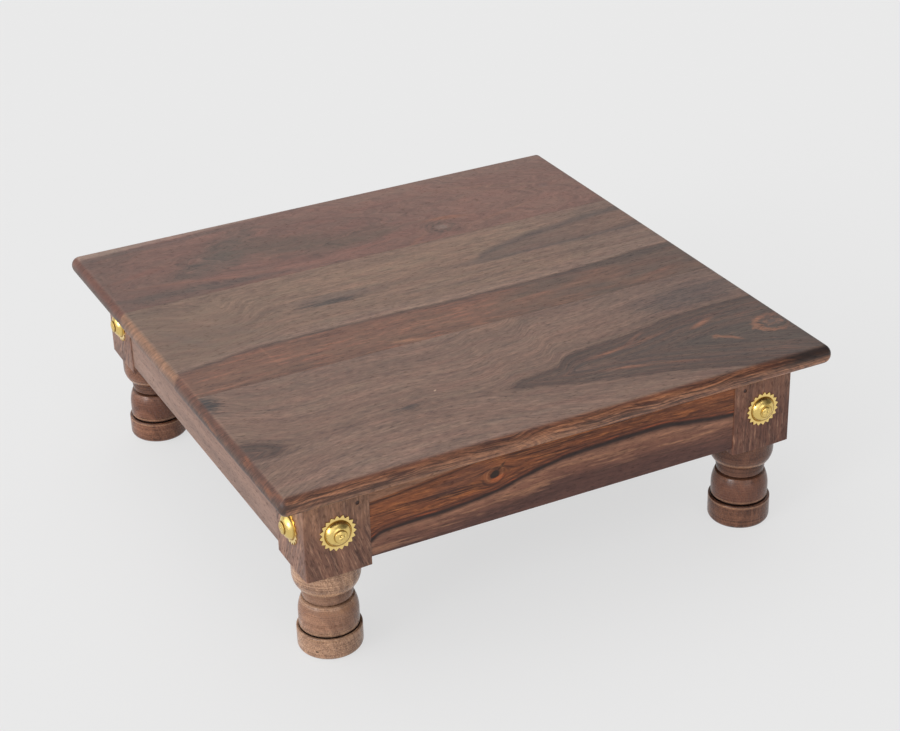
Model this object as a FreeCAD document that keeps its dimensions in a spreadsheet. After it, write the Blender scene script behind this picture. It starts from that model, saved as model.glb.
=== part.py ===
import FreeCAD, Part
import Sketcher
import math
import os

# A low square wooden table: three glued top boards with rounded edges, four aprons
# tenoned into four one-piece turned legs, corner blocks and screws under the top, and
# a nailed brass rosette on each outer leg face. Millimetres, +Z up, front is -Y.
# The origin is on the floor under the middle of the top.

doc = FreeCAD.newDocument("low_table")
sheet = doc.addObject("Spreadsheet::Sheet", "sizes")

# Driving sizes: name, number, what it is
SIZE_ROWS = (
    ("table_height", 158, "floor to the face of the top"),
    ("top_side", 450, "side of the square top"),
    ("top_thickness", 16, "thickness of the top boards"),
    ("back_board_width", 127, "width of the back board"),
    ("front_board_width", 163, "width of the front board"),
    ("nose_inset", 5.5, "how far the rounded edge reaches in over the face"),
    ("top_corner_radius", 5, "easing of the top's corners in plan"),
    ("side_overhang", 23, "top past the legs at the sides"),
    ("front_overhang", 20.5, "top past the legs at front and back"),
    ("leg_side", 50.5, "side of the square leg stock"),
    ("leg_arris_radius", 0.8, "eased long edges of the leg block"),
    ("shoulder_rise", 0.7, "how much higher the shoulder is at the block's corners"),
    ("bead_setback", 0.15, "bead inside the block's face"),
    ("bead_straight_height", 9, "straight upper part of the bead"),
    ("bead_round_height", 11, "rounded lower part of the bead"),
    ("bead_undercut", 4.2, "how far the bead draws in at its foot"),
    ("bead_lip_height", 0.6, "lip under the bead"),
    ("neck_radius", 18.5, "neck at both its ends"),
    ("neck_swell", 0.5, "how far the neck swells between its ends"),
    ("neck_height", 8, "height of the neck"),
    ("neck_groove_height", 2.2, "groove between neck and bulb"),
    ("neck_groove_depth", 1.7, "depth of that groove under the neck"),
    ("bulb_top_radius", 19.5, "bulb at its upper end"),
    ("bulb_radius", 22.2, "bulb at its widest"),
    ("bulb_height", 21.9, "height of the bulb"),
    ("bulb_straight_height", 9.7, "straight lower part of the bulb"),
    ("bulb_foot_round", 0.9, "rounded lower edge of the bulb"),
    ("burn_groove_height", 0.8, "scorched groove under the bulb"),
    ("burn_groove_depth", 1.6, "depth of the scorched groove"),
    ("base_radius", 24.1, "base ring"),
    ("base_height", 19.5, "height of the base ring"),
    ("base_top_round", 1.2, "rounded upper edge of the base ring"),
    ("base_bottom_round", 4.3, "rounded lower edge of the base ring"),
    ("apron_thickness", 18, "thickness of the aprons"),
    ("apron_setback", 0.8, "apron behind the leg's outer face"),
    ("apron_rise", 6.2, "apron's lower edge above the leg's shoulder"),
    ("apron_arris_radius", 1, "eased lower edges of the aprons"),
    ("tenon_thickness", 8, "apron tenon"),
    ("tenon_length", 21, "how far a tenon goes into the leg"),
    ("tenon_top_shoulder", 10, "shoulder above the tenon"),
    ("tenon_bottom_shoulder", 6, "shoulder below the tenon"),
    ("mortise_clearance", 0.1, "glue line round a tenon"),
    ("mortise_end_gap", 1, "glue space at the end of a tenon"),
    ("pin_diameter", 2.6, "headless pin through a tenon"),
    ("pin_length", 20, "length of a pin"),
    ("pin_from_shoulder", 9, "pin from the leg's inner face"),
    ("pin_below_top", 15, "pin below the upper end of the leg"),
    ("pin_sinking", 0.4, "pin's end below the leg's face"),
    ("block_reach", 90, "corner block along each apron"),
    ("block_thickness", 18, "thickness of a corner block"),
    ("block_blunt_end", 8, "square ends of a corner block"),
    ("block_clearance", 0.2, "corner block round the leg's corner"),
    ("top_screw_along", 60, "screw into the top, along the apron from the corner"),
    ("top_screw_inset", 14, "screw into the top, away from the apron"),
    ("top_screw_length", 28, "screw into the top"),
    ("leg_screw_length", 42, "screw into the leg's inner corner"),
    ("screw_diameter", 4, "shank of the wood screws"),
    ("screw_head_diameter", 8, "countersunk head"),
    ("screw_point_length", 5, "tapered point of a screw"),
    ("slot_width", 1.1, "driver slot"),
    ("slot_depth", 1.2, "depth of the driver slot"),
    ("hole_clearance", 0.3, "room all round a screw, pin or nail in its hole"),
    ("hole_end_gap", 1, "hole deeper than its screw, pin or nail"),
    ("rosette_tip_radius", 14.2, "rosette to the tips of its teeth"),
    ("rosette_root_radius", 11.8, "rosette between its teeth"),
    ("rosette_teeth", 19, "teeth of the rosette"),
    ("rosette_sheet", 0.8, "thickness of the brass sheet"),
    ("dome_radius", 10, "foot of the rosette's dome"),
    ("dome_height", 5.4, "dome from the leg's face to the nail's seat"),
    ("dome_round_radius", 7, "rounding of the dome's flank"),
    ("dome_seat_radius", 4.9, "flat seat under the nail's head"),
    ("nail_head_radius", 4.7, "head of the rosette's nail"),
    ("nail_head_edge", 0.8, "height of the head's edge"),
    ("nail_head_crown", 1.1, "crown of the head above its edge"),
    ("nail_shank_diameter", 2.4, "shank of the rosette's nail"),
    ("nail_depth", 18, "nail in the leg, below its face"),
    ("nail_point_length", 3, "tapered point of the nail"),
    ("cut_overrun", 4, "how far every cut runs past the wood"),
)


class Size:
    """A size that carries its number and the sheet expression that gives it."""

    def __init__(self, number, text):
        self.number = number
        self.text = text

    def joined(self, sign, other, number):
        other_text = other.text if isinstance(other, Size) else repr(other)
        return Size(number, "(%s %s %s)" % (self.text, sign, other_text))

    def __add__(self, other):
        return self.joined("+", other, self.number + number_of(other))

    def __sub__(self, other):
        return self.joined("-", other, self.number - number_of(other))

    def __mul__(self, other):
        return self.joined("*", other, self.number * number_of(other))

    def __truediv__(self, other):
        return self.joined("/", other, self.number / number_of(other))

    def __neg__(self):
        return self * -1


def number_of(value):
    return value.number if isinstance(value, Size) else value


def square_root(size):
    return Size(math.sqrt(size.number), "sqrt(%s)" % size.text)


def fill_sheet():
    """Write the driving sizes into the sheet and return them by name."""
    named = {}
    for row, (alias, number, note) in enumerate(SIZE_ROWS, 1):
        sheet.set("A%d" % row, alias)
        sheet.set("B%d" % row, str(number))
        sheet.setAlias("B%d" % row, alias)
        sheet.set("C%d" % row, note)
        named[alias] = Size(float(number), "sizes." + alias)
    doc.recompute()
    return named


s = fill_sheet()


# Helpers for bodies, sketches and features

def bind(thing, name, size):
    """Tie one property of a document object to the sheet."""
    if isinstance(size, Size):
        thing.setExpression(name, size.text)


def new_body(label):
    body = doc.addObject("PartDesign::Body", label)
    body.Label = label
    return body


def seat(body, x=0, y=0, z=0, turn=None):
    """Put a body at its place, with the place tied to the sheet."""
    rotation = turn or FreeCAD.Rotation()
    body.Placement = FreeCAD.Placement(
        FreeCAD.Vector(number_of(x), number_of(y), number_of(z)), rotation)
    bind(body, "Placement.Base.x", x)
    bind(body, "Placement.Base.y", y)
    bind(body, "Placement.Base.z", z)


def new_sketch(body, role, name, x=0, y=0, lift=0, spin=0):
    """Sketch on one of the body's own origin planes, moved by x, y and lift along its normal."""
    sketch = body.newObject("Sketcher::SketchObject", name)
    plane = [item for item in body.Origin.OriginFeatures if item.Role == role][0]
    sketch.AttachmentSupport = [(plane, "")]
    sketch.MapMode = "FlatFace"
    sketch.AttachmentOffset = FreeCAD.Placement(
        FreeCAD.Vector(number_of(x), number_of(y), number_of(lift)),
        FreeCAD.Rotation(FreeCAD.Vector(0, 0, 1), spin))
    bind(sketch, "AttachmentOffset.Base.x", x)
    bind(sketch, "AttachmentOffset.Base.y", y)
    bind(sketch, "AttachmentOffset.Base.z", lift)
    return sketch


def hold(sketch, geometry, point, x, y):
    """Fix one point of a sketch at x, y."""
    for axis, kind, value in ((-2, "DistanceX", x), (-1, "DistanceY", y)):
        if number_of(value) == 0 and not isinstance(value, Size):
            sketch.addConstraint(Sketcher.Constraint("PointOnObject", geometry, point, axis))
            continue
        rule = sketch.addConstraint(
            Sketcher.Constraint(kind, -1, 1, geometry, point, number_of(value)))
        bind(sketch, "Constraints[%d]" % rule, value)


class To:
    """One step of an outline: a line to x, y, or an arc of a radius to it.

    An arc with bend 1 turns left on its way, and one with bend -1 turns right.
    """

    def __init__(self, x, y, radius=None, bend=1):
        self.x = x
        self.y = y
        self.radius = radius
        self.bend = bend


def arc_geometry(start, end, radius, bend):
    """Arc from start to end, less than a half circle."""
    chord = end - start
    middle = (start + end) * 0.5
    left = FreeCAD.Vector(-chord.y, chord.x, 0).normalize()
    reach = math.sqrt(max(radius ** 2 - (chord.Length / 2) ** 2, 0))
    centre = middle + left * (reach * bend)
    first, last = (start, end) if bend > 0 else (end, start)
    begin = math.atan2(first.y - centre.y, first.x - centre.x)
    finish = math.atan2(last.y - centre.y, last.x - centre.x)
    circle = Part.Circle(centre, FreeCAD.Vector(0, 0, 1), radius)
    return Part.ArcOfCircle(circle, begin, finish)


def draw(sketch, steps):
    """Draw one closed outline through the steps; the first step's shape closes it."""
    corners = [FreeCAD.Vector(number_of(step.x), number_of(step.y), 0) for step in steps]
    count = len(steps)
    runs = []
    for index in range(count):
        following = (index + 1) % count
        step = steps[following]
        if step.radius is None:
            segment = Part.LineSegment(corners[index], corners[following])
            runs.append((sketch.addGeometry(segment), 1, 2))
            continue
        arc = arc_geometry(corners[index], corners[following], number_of(step.radius), step.bend)
        ends = (1, 2) if step.bend > 0 else (2, 1)
        runs.append((sketch.addGeometry(arc), ends[0], ends[1]))
    for index in range(count):
        run, start, end = runs[index]
        after, after_start, after_end = runs[(index + 1) % count]
        sketch.addConstraint(Sketcher.Constraint("Coincident", run, end, after, after_start))
        hold(sketch, run, start, steps[index].x, steps[index].y)
        step = steps[(index + 1) % count]
        if step.radius is not None:
            rule = sketch.addConstraint(
                Sketcher.Constraint("Radius", run, number_of(step.radius)))
            bind(sketch, "Constraints[%d]" % rule, step.radius)


def draw_circle(sketch, x, y, radius):
    centre = FreeCAD.Vector(number_of(x), number_of(y), 0)
    ring = sketch.addGeometry(
        Part.Circle(centre, FreeCAD.Vector(0, 0, 1), number_of(radius)))
    hold(sketch, ring, 3, x, y)
    rule = sketch.addConstraint(Sketcher.Constraint("Radius", ring, number_of(radius)))
    bind(sketch, "Constraints[%d]" % rule, radius)


def rectangle(x0, y0, x1, y1):
    return [To(x0, y0), To(x1, y0), To(x1, y1), To(x0, y1)]


def pad(body, sketch, length, name, both_ways=False):
    feature = body.newObject("PartDesign::Pad", name)
    feature.Profile = sketch
    feature.SideType = "Symmetric" if both_ways else "One side"
    feature.Length = number_of(length)
    bind(feature, "Length", length)
    return feature


def removed(body, feature, before):
    """Recompute and make sure that a cut has taken wood away."""
    doc.recompute()
    if not feature.Shape.Volume < before:
        raise ValueError("%s in %s cuts nothing" % (feature.Label, body.Label))
    return feature


def volume_so_far(body):
    doc.recompute()
    return body.Shape.Volume


def pocket(body, sketch, length, name):
    """Cut to a depth, or right through both ways where length is None."""
    before = volume_so_far(body)
    feature = body.newObject("PartDesign::Pocket", name)
    feature.Profile = sketch
    if length is None:
        feature.Type = "ThroughAll"
        feature.SideType = "Symmetric"
    else:
        feature.Length = number_of(length)
        bind(feature, "Length", length)
    return removed(body, feature, before)


def revolve(body, sketch, name, axis="V_Axis"):
    feature = body.newObject("PartDesign::Revolution", name)
    feature.Profile = sketch
    feature.ReferenceAxis = (sketch, [axis])
    feature.Angle = 360
    return feature


def groove(body, sketch, name, axis="V_Axis"):
    before = volume_so_far(body)
    feature = body.newObject("PartDesign::Groove", name)
    feature.Profile = sketch
    feature.ReferenceAxis = (sketch, [axis])
    feature.Angle = 360
    return removed(body, feature, before)


def edges_along(shape, direction, keep):
    """Names of the straight edges that run along a direction and whose middle is kept."""
    names = []
    for index, edge in enumerate(shape.Edges, 1):
        if len(edge.Vertexes) != 2 or not isinstance(edge.Curve, (Part.Line, Part.LineSegment)):
            continue
        run = edge.Vertexes[1].Point - edge.Vertexes[0].Point
        middle = (edge.Vertexes[1].Point + edge.Vertexes[0].Point) * 0.5
        if run.cross(direction).Length < 1e-6 * run.Length and keep(middle):
            names.append("Edge%d" % index)
    return names


def ease(body, base, names, radius, name):
    feature = body.newObject("PartDesign::Fillet", name)
    feature.Base = (base, names)
    feature.Radius = number_of(radius)
    bind(feature, "Radius", radius)
    return feature


# Places that several pieces share

half_top = s["top_side"] / 2
top_underside = s["table_height"] - s["top_thickness"]
half_leg = s["leg_side"] / 2
leg_x = half_top - s["side_overhang"] - half_leg
leg_y = half_top - s["front_overhang"] - half_leg
apron_inset = s["apron_setback"] + s["apron_thickness"]
inner_x = half_top - s["side_overhang"] - apron_inset
inner_y = half_top - s["front_overhang"] - apron_inset

# Heights up the turned foot, from the floor
bulb_foot = s["base_height"] + s["burn_groove_height"]
bulb_belly = bulb_foot + s["bulb_straight_height"]
bulb_top = bulb_foot + s["bulb_height"]
neck_foot = bulb_top + s["neck_groove_height"]
neck_top = neck_foot + s["neck_height"]
bead_foot = neck_top + s["bead_lip_height"]
bead_belly = bead_foot + s["bead_round_height"]
shoulder = bead_belly + s["bead_straight_height"]

apron_bottom = shoulder + s["apron_rise"]
apron_height = top_underside - apron_bottom
tenon_bottom = apron_bottom + s["tenon_bottom_shoulder"]
tenon_top = top_underside - s["tenon_top_shoulder"]
tenon_line = s["apron_setback"] + s["apron_thickness"] / 2
pin_height = top_underside - s["pin_below_top"]
rosette_height = (shoulder + top_underside) / 2
leg_screw_height = top_underside - s["block_thickness"] / 2

screw_radius = s["screw_diameter"] / 2
screw_head_radius = s["screw_head_diameter"] / 2
screw_hole_radius = screw_radius + s["hole_clearance"]
pin_radius = s["pin_diameter"] / 2
pin_hole_radius = pin_radius + s["hole_clearance"]
nail_radius = s["nail_shank_diameter"] / 2
nail_hole_radius = nail_radius + s["hole_clearance"]

notch = s["leg_side"] - apron_inset
diagonal = math.sqrt(2)
block_notch = notch + s["block_clearance"]
block_face = (s["block_reach"] + s["block_blunt_end"]) / diagonal
leg_screw_in_leg = s["leg_screw_length"] - (block_face - notch * diagonal)

CORNERS = (
    ("front_left", -1, -1, 0),
    ("front_right", 1, -1, 90),
    ("back_right", 1, 1, 180),
    ("back_left", -1, 1, 270),
)


def quarter_turn(angle):
    return FreeCAD.Rotation(FreeCAD.Vector(0, 0, 1), angle)


def face_turn(angle):
    """Turn a piece's own +Z out of the front face, then round the table."""
    return quarter_turn(angle) * FreeCAD.Rotation(FreeCAD.Vector(1, 0, 0), 90)


# Top boards

nose_radius = (s["nose_inset"] * s["nose_inset"]
               + s["top_thickness"] * s["top_thickness"] / 4) / (s["nose_inset"] * 2)


def board_section(width, rounded):
    """Board across its grain: y from its outer edge, z up from its underside."""
    if not rounded:
        return rectangle(-width / 2, 0, width / 2, s["top_thickness"])
    return [
        To(width, 0),
        To(width, s["top_thickness"]),
        To(s["nose_inset"], s["top_thickness"]),
        To(s["nose_inset"], 0, nose_radius, 1),
    ]


def end_nose_outline(side):
    """Waste outside the rounded end of a board, at +x or -x."""
    over = s["cut_overrun"]
    tangent = (half_top - s["nose_inset"]) * side
    outside = (half_top + over) * side
    return [
        To(tangent, 0),
        To(tangent, s["top_thickness"], nose_radius, side),
        To(tangent, s["top_thickness"] + over),
        To(outside, s["top_thickness"] + over),
        To(outside, -over),
        To(tangent, -over),
    ]


def corner_waste_outline(side):
    """Waste outside the eased corner in plan, at the board's outer edge."""
    over = s["cut_overrun"]
    radius = s["top_corner_radius"]
    return [
        To((half_top - radius) * side, 0),
        To(half_top * side, radius, radius, side),
        To((half_top + over) * side, radius),
        To((half_top + over) * side, -over),
        To((half_top - radius) * side, -over),
    ]


def top_board(label, width, rounded):
    body = new_body(label)
    section = new_sketch(body, "YZ_Plane", label + "_section")
    draw(section, board_section(width, rounded))
    pad(body, section, s["top_side"], label + "_board", both_ways=True)
    ends = new_sketch(body, "XZ_Plane", label + "_ends")
    for side in (-1, 1):
        draw(ends, end_nose_outline(side))
    pocket(body, ends, None, label + "_end_noses")
    if not rounded:
        return body
    corners = new_sketch(body, "XY_Plane", label + "_corners")
    for side in (-1, 1):
        draw(corners, corner_waste_outline(side))
    pocket(body, corners, None, label + "_eased_corners")
    edge_from_corner = half_top - inner_y
    places = []
    for side in (-1, 1):
        places.append(((inner_x - s["top_screw_along"]) * side,
                       edge_from_corner + s["top_screw_inset"]))
        places.append(((inner_x - s["top_screw_inset"]) * side,
                       edge_from_corner + s["top_screw_along"]))
    pilots = new_sketch(body, "XY_Plane", label + "_pilots",
                        lift=s["top_screw_length"] - s["block_thickness"] + s["hole_end_gap"])
    for x, y in places:
        draw_circle(pilots, x, y, screw_hole_radius)
    depth = s["top_screw_length"] - s["block_thickness"] + s["hole_end_gap"] + s["cut_overrun"]
    pocket(body, pilots, depth, label + "_pilot_holes")
    return body


front_board = top_board("top_board_front", s["front_board_width"], True)
seat(front_board, y=-half_top, z=top_underside)
back_board = top_board("top_board_back", s["back_board_width"], True)
seat(back_board, y=half_top, z=top_underside, turn=quarter_turn(180))
middle_width = s["top_side"] - s["front_board_width"] - s["back_board_width"]
middle_board = top_board("top_board_middle", middle_width, False)
middle_y = (s["front_board_width"] - s["back_board_width"]) / 2
seat(middle_board, y=middle_y, z=top_underside)


# Legs, each one piece of square stock with its lower part turned

def turning_waste():
    """Half section of the wood turned away below the block: x is the radius, y the height."""
    over = s["cut_overrun"]
    outside = half_leg * diagonal + over
    bead_radius = half_leg - s["bead_setback"]
    slope = s["shoulder_rise"] / (half_leg * diagonal - half_leg)
    bead_foot_radius = bead_radius - s["bead_undercut"]
    bead_arc = ((s["bead_undercut"] * s["bead_undercut"]
                 + s["bead_round_height"] * s["bead_round_height"]) / (s["bead_undercut"] * 2))
    neck_arc = ((s["neck_swell"] * s["neck_swell"]
                 + s["neck_height"] * s["neck_height"] / 4) / (s["neck_swell"] * 2))
    bulb_swell = s["bulb_radius"] - s["bulb_top_radius"]
    bulb_rise = s["bulb_height"] - s["bulb_straight_height"]
    bulb_arc = (bulb_swell * bulb_swell + bulb_rise * bulb_rise) / (bulb_swell * 2)
    foot_round = s["bulb_foot_round"]
    top_round = s["base_top_round"]
    bottom_round = s["base_bottom_round"]
    return [
        To(outside, shoulder + slope * (outside - bead_radius)),
        To(bead_radius, shoulder),
        To(bead_radius, bead_belly),
        To(bead_foot_radius, bead_foot, bead_arc, -1),
        To(bead_foot_radius - s["bead_lip_height"], neck_top),
        To(s["neck_radius"], neck_top),
        To(s["neck_radius"], neck_foot, neck_arc, -1),
        To(s["neck_radius"] - s["neck_groove_depth"],
           bulb_top + s["neck_groove_height"] / 2),
        To(s["bulb_top_radius"], bulb_top),
        To(s["bulb_radius"], bulb_belly, bulb_arc, -1),
        To(s["bulb_radius"], bulb_foot + foot_round),
        To(s["bulb_radius"] - foot_round, bulb_foot, foot_round, -1),
        To(s["bulb_radius"] - s["burn_groove_depth"],
           s["base_height"] + s["burn_groove_height"] / 2),
        To(s["base_radius"] - top_round, s["base_height"]),
        To(s["base_radius"], s["base_height"] - top_round, top_round, -1),
        To(s["base_radius"], bottom_round),
        To(s["base_radius"] - bottom_round, 0, bottom_round, -1),
        To(s["base_radius"] - bottom_round, -over),
        To(outside, -over),
    ]


def mortise_outline():
    """Mortise seen from the front of the table: x along the apron, y up."""
    clear = s["mortise_clearance"]
    end = half_leg - s["tenon_length"] - s["mortise_end_gap"]
    return rectangle(end, tenon_bottom - clear, half_leg + s["cut_overrun"], tenon_top + clear)


def face_hole(body, name, role, x, radius, depth, height, lift):
    """Round hole into an outer face of the leg."""
    sketch = new_sketch(body, role, name + "_place", lift=lift)
    draw_circle(sketch, x, height, radius)
    return pocket(body, sketch, depth, name)


def leg(label):
    """Leg about its own axis, with its outer faces at -X and -Y and aprons at +X and +Y."""
    body = new_body(label)
    plan = new_sketch(body, "XY_Plane", label + "_stock")
    draw(plan, rectangle(-half_leg, -half_leg, half_leg, half_leg))
    stock = pad(body, plan, top_underside, label + "_square_stock")
    doc.recompute()
    arrises = edges_along(stock.Shape, FreeCAD.Vector(0, 0, 1), lambda middle: True)
    ease(body, stock, arrises, s["leg_arris_radius"], label + "_arrises")
    profile = new_sketch(body, "XZ_Plane", label + "_profile")
    draw(profile, turning_waste())
    groove(body, profile, label + "_turned_foot")
    wide = s["tenon_thickness"] + s["mortise_clearance"] * 2
    line = half_leg - tenon_line + wide / 2
    for name, role, side in (("x", "XZ_Plane", 1), ("y", "YZ_Plane", -1)):
        lift = line if side > 0 else wide - line
        mortise = new_sketch(body, role, label + "_mortise_outline_" + name, lift=lift)
        draw(mortise, mortise_outline())
        pocket(body, mortise, wide, label + "_mortise_" + name)
    for name, role, side in (("front", "XZ_Plane", 1), ("side", "YZ_Plane", -1)):
        over = s["cut_overrun"]
        near = half_leg + over if side > 0 else s["pin_length"] + s["hole_end_gap"] - half_leg
        depth = s["pin_length"] + s["hole_end_gap"] + over
        face_hole(body, label + "_pin_hole_" + name, role, half_leg - s["pin_from_shoulder"],
                  pin_hole_radius, depth, pin_height, near)
        near = half_leg + over if side > 0 else s["nail_depth"] + s["hole_end_gap"] - half_leg
        depth = s["nail_depth"] + s["hole_end_gap"] + over
        face_hole(body, label + "_nail_hole_" + name, role, 0,
                  nail_hole_radius, depth, rosette_height, near)
    pilot = new_sketch(body, "XY_Plane", label + "_screw_pilot_section",
                       lift=leg_screw_height, spin=45)
    corner = half_leg * diagonal
    draw(pilot, rectangle(corner - leg_screw_in_leg - s["hole_end_gap"], 0,
                          corner + s["cut_overrun"], screw_hole_radius))
    groove(body, pilot, label + "_screw_pilot", axis="H_Axis")
    return body


# Aprons

def apron(label, length):
    """Apron along X, centred, with its outer face at y = 0 and its lower edge at z = 0."""
    body = new_body(label)
    face = new_sketch(body, "XZ_Plane", label + "_face")
    draw(face, rectangle(-length / 2, 0, length / 2, apron_height))
    board = pad(body, face, s["apron_thickness"], label + "_board")
    board.Reversed = True
    doc.recompute()
    lower = edges_along(board.Shape, FreeCAD.Vector(1, 0, 0),
                        lambda middle: abs(middle.z) < number_of(s["apron_arris_radius"]))
    ease(body, board, lower, s["apron_arris_radius"], label + "_arrises")
    middle = s["apron_thickness"] / 2
    half_tenon = s["tenon_thickness"] / 2
    ends = new_sketch(body, "YZ_Plane", label + "_tenon_section")
    draw(ends, rectangle(middle - half_tenon, s["tenon_bottom_shoulder"],
                         middle + half_tenon, apron_height - s["tenon_top_shoulder"]))
    pad(body, ends, length + s["tenon_length"] * 2, label + "_tenons", both_ways=True)
    holes = new_sketch(body, "XZ_Plane", label + "_pin_places",
                       lift=-(s["apron_thickness"] + s["cut_overrun"]))
    for side in (-1, 1):
        draw_circle(holes, (length / 2 + s["pin_from_shoulder"]) * side,
                    pin_height - apron_bottom, pin_hole_radius)
    before = volume_so_far(body)
    feature = body.newObject("PartDesign::Pocket", label + "_pin_holes")
    feature.Profile = holes
    feature.Reversed = True
    feature.Length = number_of(s["apron_thickness"] + s["cut_overrun"] * 2)
    bind(feature, "Length", s["apron_thickness"] + s["cut_overrun"] * 2)
    removed(body, feature, before)
    return body


# Corner blocks under the top, each notched round the leg

def countersunk_outline(face, far):
    """Half section of a countersunk hole: x along the hole, y the radius."""
    clear = s["hole_clearance"]
    wide = screw_head_radius + clear
    return [
        To(far, 0),
        To(face + s["cut_overrun"], 0),
        To(face + s["cut_overrun"], wide),
        To(face, wide),
        To(face - (screw_head_radius - screw_radius), screw_hole_radius),
        To(far, screw_hole_radius),
    ]


def corner_block(label):
    """Block with the aprons' inner corner at x = y = 0 and its upper face at z = 0."""
    body = new_body(label)
    plan = new_sketch(body, "XY_Plane", label + "_plan")
    reach = s["block_reach"]
    blunt = s["block_blunt_end"]
    draw(plan, [
        To(block_notch, 0),
        To(reach, 0),
        To(reach, blunt),
        To(blunt, reach),
        To(0, reach),
        To(0, block_notch),
        To(block_notch, block_notch),
    ])
    slab = pad(body, plan, s["block_thickness"], label + "_slab")
    slab.Reversed = True
    across = new_sketch(body, "XY_Plane", label + "_leg_screw_section",
                        lift=-s["block_thickness"] / 2, spin=45)
    draw(across, countersunk_outline(block_face, notch * diagonal - s["cut_overrun"]))
    groove(body, across, label + "_leg_screw_hole", axis="H_Axis")
    places = (
        ("a", s["top_screw_along"], s["top_screw_inset"]),
        ("b", s["top_screw_inset"], s["top_screw_along"]),
    )
    for name, x, y in places:
        upright = new_sketch(body, "XZ_Plane", label + "_top_screw_section_" + name,
                             x=x, lift=-y, spin=-90)
        draw(upright, countersunk_outline(s["block_thickness"], -s["cut_overrun"]))
        groove(body, upright, label + "_top_screw_hole_" + name, axis="H_Axis")
    return body


# Wood screws, tenon pins, rosettes and their nails

def wood_screw(label, length):
    """Slotted countersunk screw with its head's face at z = 0, pointing along -Z."""
    body = new_body(label)
    half = new_sketch(body, "XZ_Plane", label + "_section")
    draw(half, [
        To(0, 0),
        To(0, -length),
        To(screw_radius, s["screw_point_length"] - length),
        To(screw_radius, screw_radius - screw_head_radius),
        To(screw_head_radius, 0),
    ])
    revolve(body, half, label + "_turned")
    slot = new_sketch(body, "XZ_Plane", label + "_slot_section")
    draw(slot, rectangle(-s["slot_width"] / 2, -s["slot_depth"],
                         s["slot_width"] / 2, s["cut_overrun"]))
    pocket(body, slot, None, label + "_slot")
    return body


def tenon_pin(label):
    """Headless pin with its outer end at z = 0, pointing along -Z."""
    body = new_body(label)
    ring = new_sketch(body, "XY_Plane", label + "_section")
    draw_circle(ring, 0, 0, pin_radius)
    stem = pad(body, ring, s["pin_length"] - s["pin_sinking"], label + "_stem")
    stem.Reversed = True
    return body


def rosette(label):
    """Stamped toothed rosette with its back at z = 0 and its dome towards +Z."""
    body = new_body(label)
    rim = new_sketch(body, "XY_Plane", label + "_rim_outline")
    inner = s["dome_radius"] - s["rosette_sheet"]
    draw_circle(rim, 0, 0, s["rosette_root_radius"])
    draw_circle(rim, 0, 0, inner)
    pad(body, rim, s["rosette_sheet"], label + "_rim")
    half_pitch = 180 / number_of(s["rosette_teeth"])
    root = s["rosette_root_radius"]
    half_width = root * math.sin(math.radians(half_pitch))
    root_x = root * math.cos(math.radians(half_pitch))
    sunk_x = s["dome_radius"]
    tooth_outline = new_sketch(body, "XY_Plane", label + "_tooth_outline")
    draw(tooth_outline, [
        To(sunk_x, -half_width),
        To(root_x, -half_width),
        To(s["rosette_tip_radius"], 0),
        To(root_x, half_width),
        To(sunk_x, half_width),
    ])
    tooth = pad(body, tooth_outline, s["rosette_sheet"], label + "_tooth")
    ring = body.newObject("PartDesign::PolarPattern", label + "_teeth")
    ring.Originals = [tooth]
    ring.Axis = (tooth_outline, ["N_Axis"])
    ring.Angle = 360
    ring.Occurrences = int(number_of(s["rosette_teeth"]))
    bind(ring, "Occurrences", s["rosette_teeth"])
    body.Tip = ring
    shell = new_sketch(body, "XZ_Plane", label + "_dome_section")
    sheet_thick = s["rosette_sheet"]
    draw(shell, [
        To(inner, 0),
        To(s["dome_radius"], 0),
        To(s["dome_radius"], sheet_thick),
        To(s["dome_seat_radius"], s["dome_height"], s["dome_round_radius"], 1),
        To(nail_hole_radius, s["dome_height"]),
        To(nail_hole_radius, s["dome_height"] - sheet_thick),
        To(s["dome_seat_radius"], s["dome_height"] - sheet_thick),
        To(inner, sheet_thick / 2, s["dome_round_radius"], -1),
    ])
    revolve(body, shell, label + "_dome")
    return body


def rosette_nail(label):
    """Round-headed nail with the leg's face at z = 0, its head on the rosette's dome."""
    body = new_body(label)
    half = new_sketch(body, "XZ_Plane", label + "_section")
    edge = s["dome_height"] + s["nail_head_edge"]
    crown = edge + s["nail_head_crown"]
    head = s["nail_head_radius"]
    crown_arc = ((s["nail_head_crown"] * s["nail_head_crown"] + head * head)
                 / (s["nail_head_crown"] * 2))
    draw(half, [
        To(0, -s["nail_depth"]),
        To(nail_radius, s["nail_point_length"] - s["nail_depth"]),
        To(nail_radius, s["dome_height"]),
        To(head, s["dome_height"]),
        To(head, edge),
        To(0, crown, crown_arc, 1),
    ])
    revolve(body, half, label + "_turned")
    return body


def group(label, pieces):
    """Like fasteners kept together as separate solids under one name."""
    compound = doc.addObject("Part::Compound", label)
    compound.Label = label
    compound.Links = pieces
    return compound


# Put the table together

parts = [front_board, back_board, middle_board]

apron_length_x = (leg_x - half_leg) * 2
apron_length_y = (leg_y - half_leg) * 2
apron_face_x = leg_x + half_leg - s["apron_setback"]
apron_face_y = leg_y + half_leg - s["apron_setback"]
APRONS = (
    ("apron_front", apron_length_x, 0, -apron_face_y, 0),
    ("apron_right", apron_length_y, apron_face_x, 0, 90),
    ("apron_back", apron_length_x, 0, apron_face_y, 180),
    ("apron_left", apron_length_y, -apron_face_x, 0, 270),
)
for label, length, x, y, angle in APRONS:
    board = apron(label, length)
    seat(board, x, y, apron_bottom, quarter_turn(angle))
    parts.append(board)

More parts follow.
